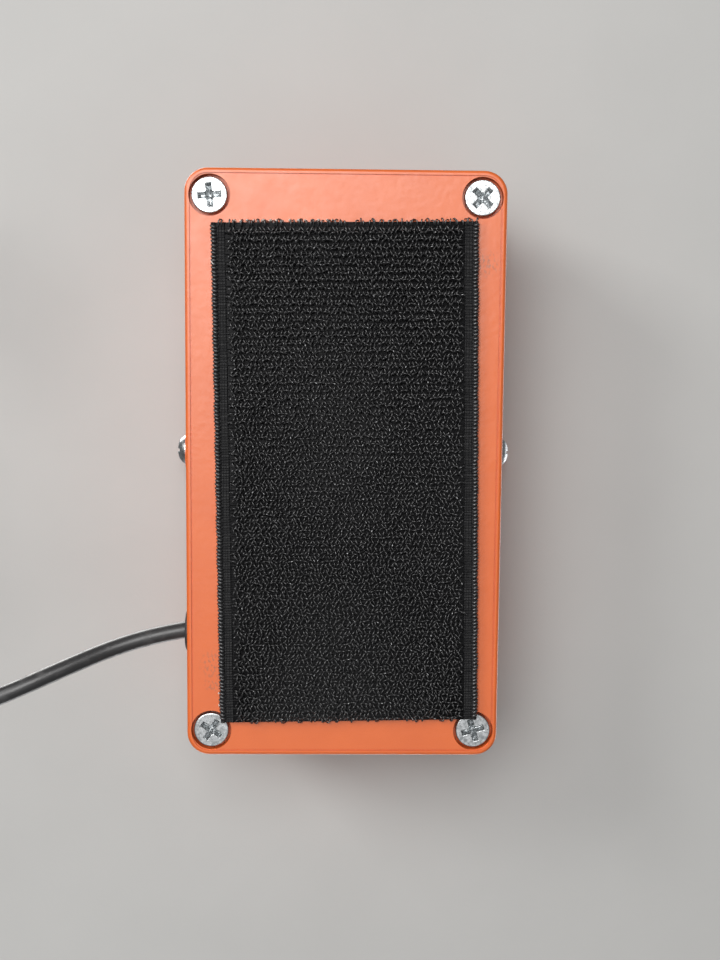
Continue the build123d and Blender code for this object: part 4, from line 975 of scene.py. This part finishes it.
shell_outline = [
    (BOOT_LENGTH, 5.2),
    (BOOT_LENGTH, 5.6),
    (BOOT_LENGTH + 0.25, 6.2),
    (BOOT_LENGTH + 0.7, 6.75),
    (BOOT_LENGTH + 1.3, SHELL_R),
    (BOOT_LENGTH + 2.2, SHELL_R),
    (BOOT_LENGTH + 2.35, SHELL_R - SHELL_GROOVE),
    (BOOT_LENGTH + 2.85, SHELL_R - SHELL_GROOVE),
    (KNURL_FROM, SHELL_R),
]
for step in range(1, KNURL_STEPS + 1):
    shell_outline.append((KNURL_FROM + KNURL_LENGTH * step / KNURL_STEPS, SHELL_R))
shell_outline += [
    (BOOT_LENGTH + 19.15, SHELL_R - SHELL_GROOVE),
    (BOOT_LENGTH + 19.65, SHELL_R - SHELL_GROOVE),
    (BOOT_LENGTH + 19.8, SHELL_R),
    (BOOT_LENGTH + 21.6, SHELL_R),
    (BOOT_LENGTH + 22.0, SHELL_R - 0.2),
    (BOOT_LENGTH + 23.0, SHELL_R - 1.0),
    (BOOT_LENGTH + 27.3, SHELL_R - 1.0),
    (BOOT_LENGTH + 27.8, SHELL_R - 1.3),
    (BOOT_LENGTH + SHELL_LENGTH, SHELL_R - 1.7),
    (BOOT_LENGTH + SHELL_LENGTH, 3.3),
]
shell = Shape()
lathe(shell, shell_outline, 176, knurl)
plug_shell = shell.piece("plug_shell_knurled", MATERIALS["nickel"], "nickel")
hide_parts("plug_shell")

BOOT_RIBS = 5
BOOT_RIB_PITCH = 2.1
boot_outline = [(0.0, 1.75), (0.0, 2.4), (0.3, 2.62)]
for rib in range(BOOT_RIBS):
    start = 1.2 + rib * BOOT_RIB_PITCH
    radius = 2.7 + rib * 0.36
    boot_outline += [
        (start, radius),
        (start + 0.15, radius - 0.55),
        (start + 0.75, radius - 0.50),
        (start + 0.9, radius + 0.12),
        (start + 1.5, radius + 0.24),
    ]
boot_outline += [(12.2, 4.4), (13.0, 5.3), (13.4, 5.4), (15.6, 5.4), (BOOT_LENGTH, 5.2), (BOOT_LENGTH, 1.9)]
boot = Shape()
lathe(boot, boot_outline, 48)
plug_boot = boot.piece("plug_boot_ribbed", MATERIALS["black_rubber"], "black_rubber")
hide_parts("plug_boot")

# ---- Stage: a floor seen from above, and the same pale surface seen from below, behind the pedal ----
# The photograph looks at the underside of a pedal that lies on its treadle. Each sheet shows only
# its pale face, so that neither hides the pedal, and neither takes light from it.
STAGE_COLOUR = (0.50, 0.50, 0.49)
BACKDROP_HALF_X = 130
BACKDROP_HALF_Y = 160
BACKDROP_Z = 38.0
FLOOR_R = 1500.0
SWEEP_R = 1500.0  # of the curve from the floor up into the wall
SWEEP_STEPS = 12
FLOOR_SIDES = 48
WALL_TOP = 4500.0


def backdrop_rows():
    """A flat rectangle, from +Y to -Y, so that it faces down."""
    rows = []
    for y in (BACKDROP_HALF_Y, -BACKDROP_HALF_Y):
        rows.append([(-BACKDROP_HALF_X, y, BACKDROP_Z), (BACKDROP_HALF_X, y, BACKDROP_Z)])
    return rows


def floor_rows():
    """A round floor that curves up into a wall far from the pedal."""
    profile = [(0.0, 0.0), (600.0, 0.0), (FLOOR_R, 0.0)]
    for step in range(1, SWEEP_STEPS + 1):
        angle = math.pi / 2 * step / SWEEP_STEPS
        profile.append((FLOOR_R + SWEEP_R * math.sin(angle), SWEEP_R * (1 - math.cos(angle))))
    profile.append((FLOOR_R + SWEEP_R, WALL_TOP))
    rows = []
    for radius, height in profile:
        row = []
        for step in range(FLOOR_SIDES + 1):
            angle = TURN * step / FLOOR_SIDES
            row.append((radius * math.cos(angle), radius * math.sin(angle), height))
        rows.append(row)
    return rows


def stage_material(name):
    """A pale surface with faint clouding that shows only its front."""
    made = Surface(name, STAGE_COLOUR, 0.85)
    darker = tuple(0.96 * value for value in STAGE_COLOUR)
    made.colour(made.blend(made.span(made.noise(30.0, 4.0), 0.3, 0.7), STAGE_COLOUR, darker))
    made.relief((made.noise(0.8, 3.0), 0.02))
    tree = made.tree
    clear = tree.nodes.new("ShaderNodeBsdfTransparent")
    turned_away = tree.nodes.new("ShaderNodeNewGeometry").outputs["Backfacing"]
    choose = tree.nodes.new("ShaderNodeMixShader")
    tree.links.new(turned_away, choose.inputs[0])
    tree.links.new(made.shader.outputs[0], choose.inputs[1])
    tree.links.new(clear.outputs[0], choose.inputs[2])
    tree.links.new(choose.outputs[0], tree.nodes["Material Output"].inputs["Surface"])
    return made.material


def stage_sheet(name, rows, flipped):
    """A sheet that the camera sees and that takes no part in the lighting."""
    shape = Shape()
    shape.grid(rows)
    faces = [face[::-1] for face in shape.faces] if flipped else shape.faces
    mesh = bpy.data.meshes.new(name)
    mesh.from_pydata([tuple(point * MM) for point in shape.points], [], faces)
    mesh.polygons.foreach_set("use_smooth", [True] * len(mesh.polygons))
    mesh.materials.append(stage_material(name))
    sheet = bpy.data.objects.new(name, mesh)
    scene.collection.objects.link(sheet)
    for kind in ("diffuse", "glossy", "transmission", "volume_scatter", "shadow"):
        setattr(sheet, "visible_" + kind, False)


stage_sheet("backdrop", backdrop_rows(), flipped=False)
stage_sheet("floor", floor_rows(), flipped=True)


# ---- Light: three lamps below for the underside, three above, and a dim sky ----
def soft_light(name, at, target, width, height, power, colour):
    """A large rectangular lamp at a place in mm, facing a target."""
    data = bpy.data.lights.new(name, "AREA")
    data.shape = "RECTANGLE"
    data.size = width * MM
    data.size_y = height * MM
    data.energy = power
    data.color = colour
    lamp = bpy.data.objects.new(name, data)
    lamp.location = Vector(at) * MM
    lamp.rotation_euler = (Vector(target) - Vector(at)).to_track_quat("-Z", "Y").to_euler()
    lamp.visible_camera = False
    scene.collection.objects.link(lamp)
    return lamp


PEDAL_MIDDLE = (0, 0, 20)
COVER_MIDDLE = (0, 0, 0)
WARM = (1.0, 0.99, 0.97)
WHITE = (1.0, 1.0, 1.0)
COOL = (0.97, 0.98, 1.0)
SKY = (0.98, 0.99, 1.0)
SKY_STRENGTH = 0.17

under_key = soft_light("under_key", (-190, -300, -900), COVER_MIDDLE, 700, 520, 8.0, (1.0, 0.99, 0.98))
under_fill = soft_light("under_fill", (0, 330, -900), COVER_MIDDLE, 520, 420, 0.50, WHITE)
under_side = soft_light("under_side", (-650, -420, -480), PEDAL_MIDDLE, 260, 260, 3.2, WARM)
soft_light("over_key", (-900, -1100, 1700), PEDAL_MIDDLE, 1300, 1300, 34.0, WARM)
soft_light("over_fill", (1500, 300, 1200), PEDAL_MIDDLE, 1500, 1500, 15.0, COOL)
soft_light("over_back", (-200, 1700, 1000), PEDAL_MIDDLE, 1500, 900, 15.0, WHITE)

world = bpy.data.worlds.new("world")
world.use_nodes = True
world.node_tree.nodes["Background"].inputs["Color"].default_value = (*SKY, 1)
world.node_tree.nodes["Background"].inputs["Strength"].default_value = SKY_STRENGTH
scene.world = world
scene.view_settings.view_transform = "Standard"

# The coil lies just outside the photograph's view, and casts no shadow into it.
casters = bpy.data.collections.new("shadow_casters")
coil_pieces = {cord, cord_ties, plug_shell, plug_boot}
for piece in scene.objects:
    if piece.type in ("MESH", "CURVE") and piece not in coil_pieces:
        casters.objects.link(piece)
for lamp in (under_key, under_fill, under_side):
    lamp.light_linking.blocker_collection = casters
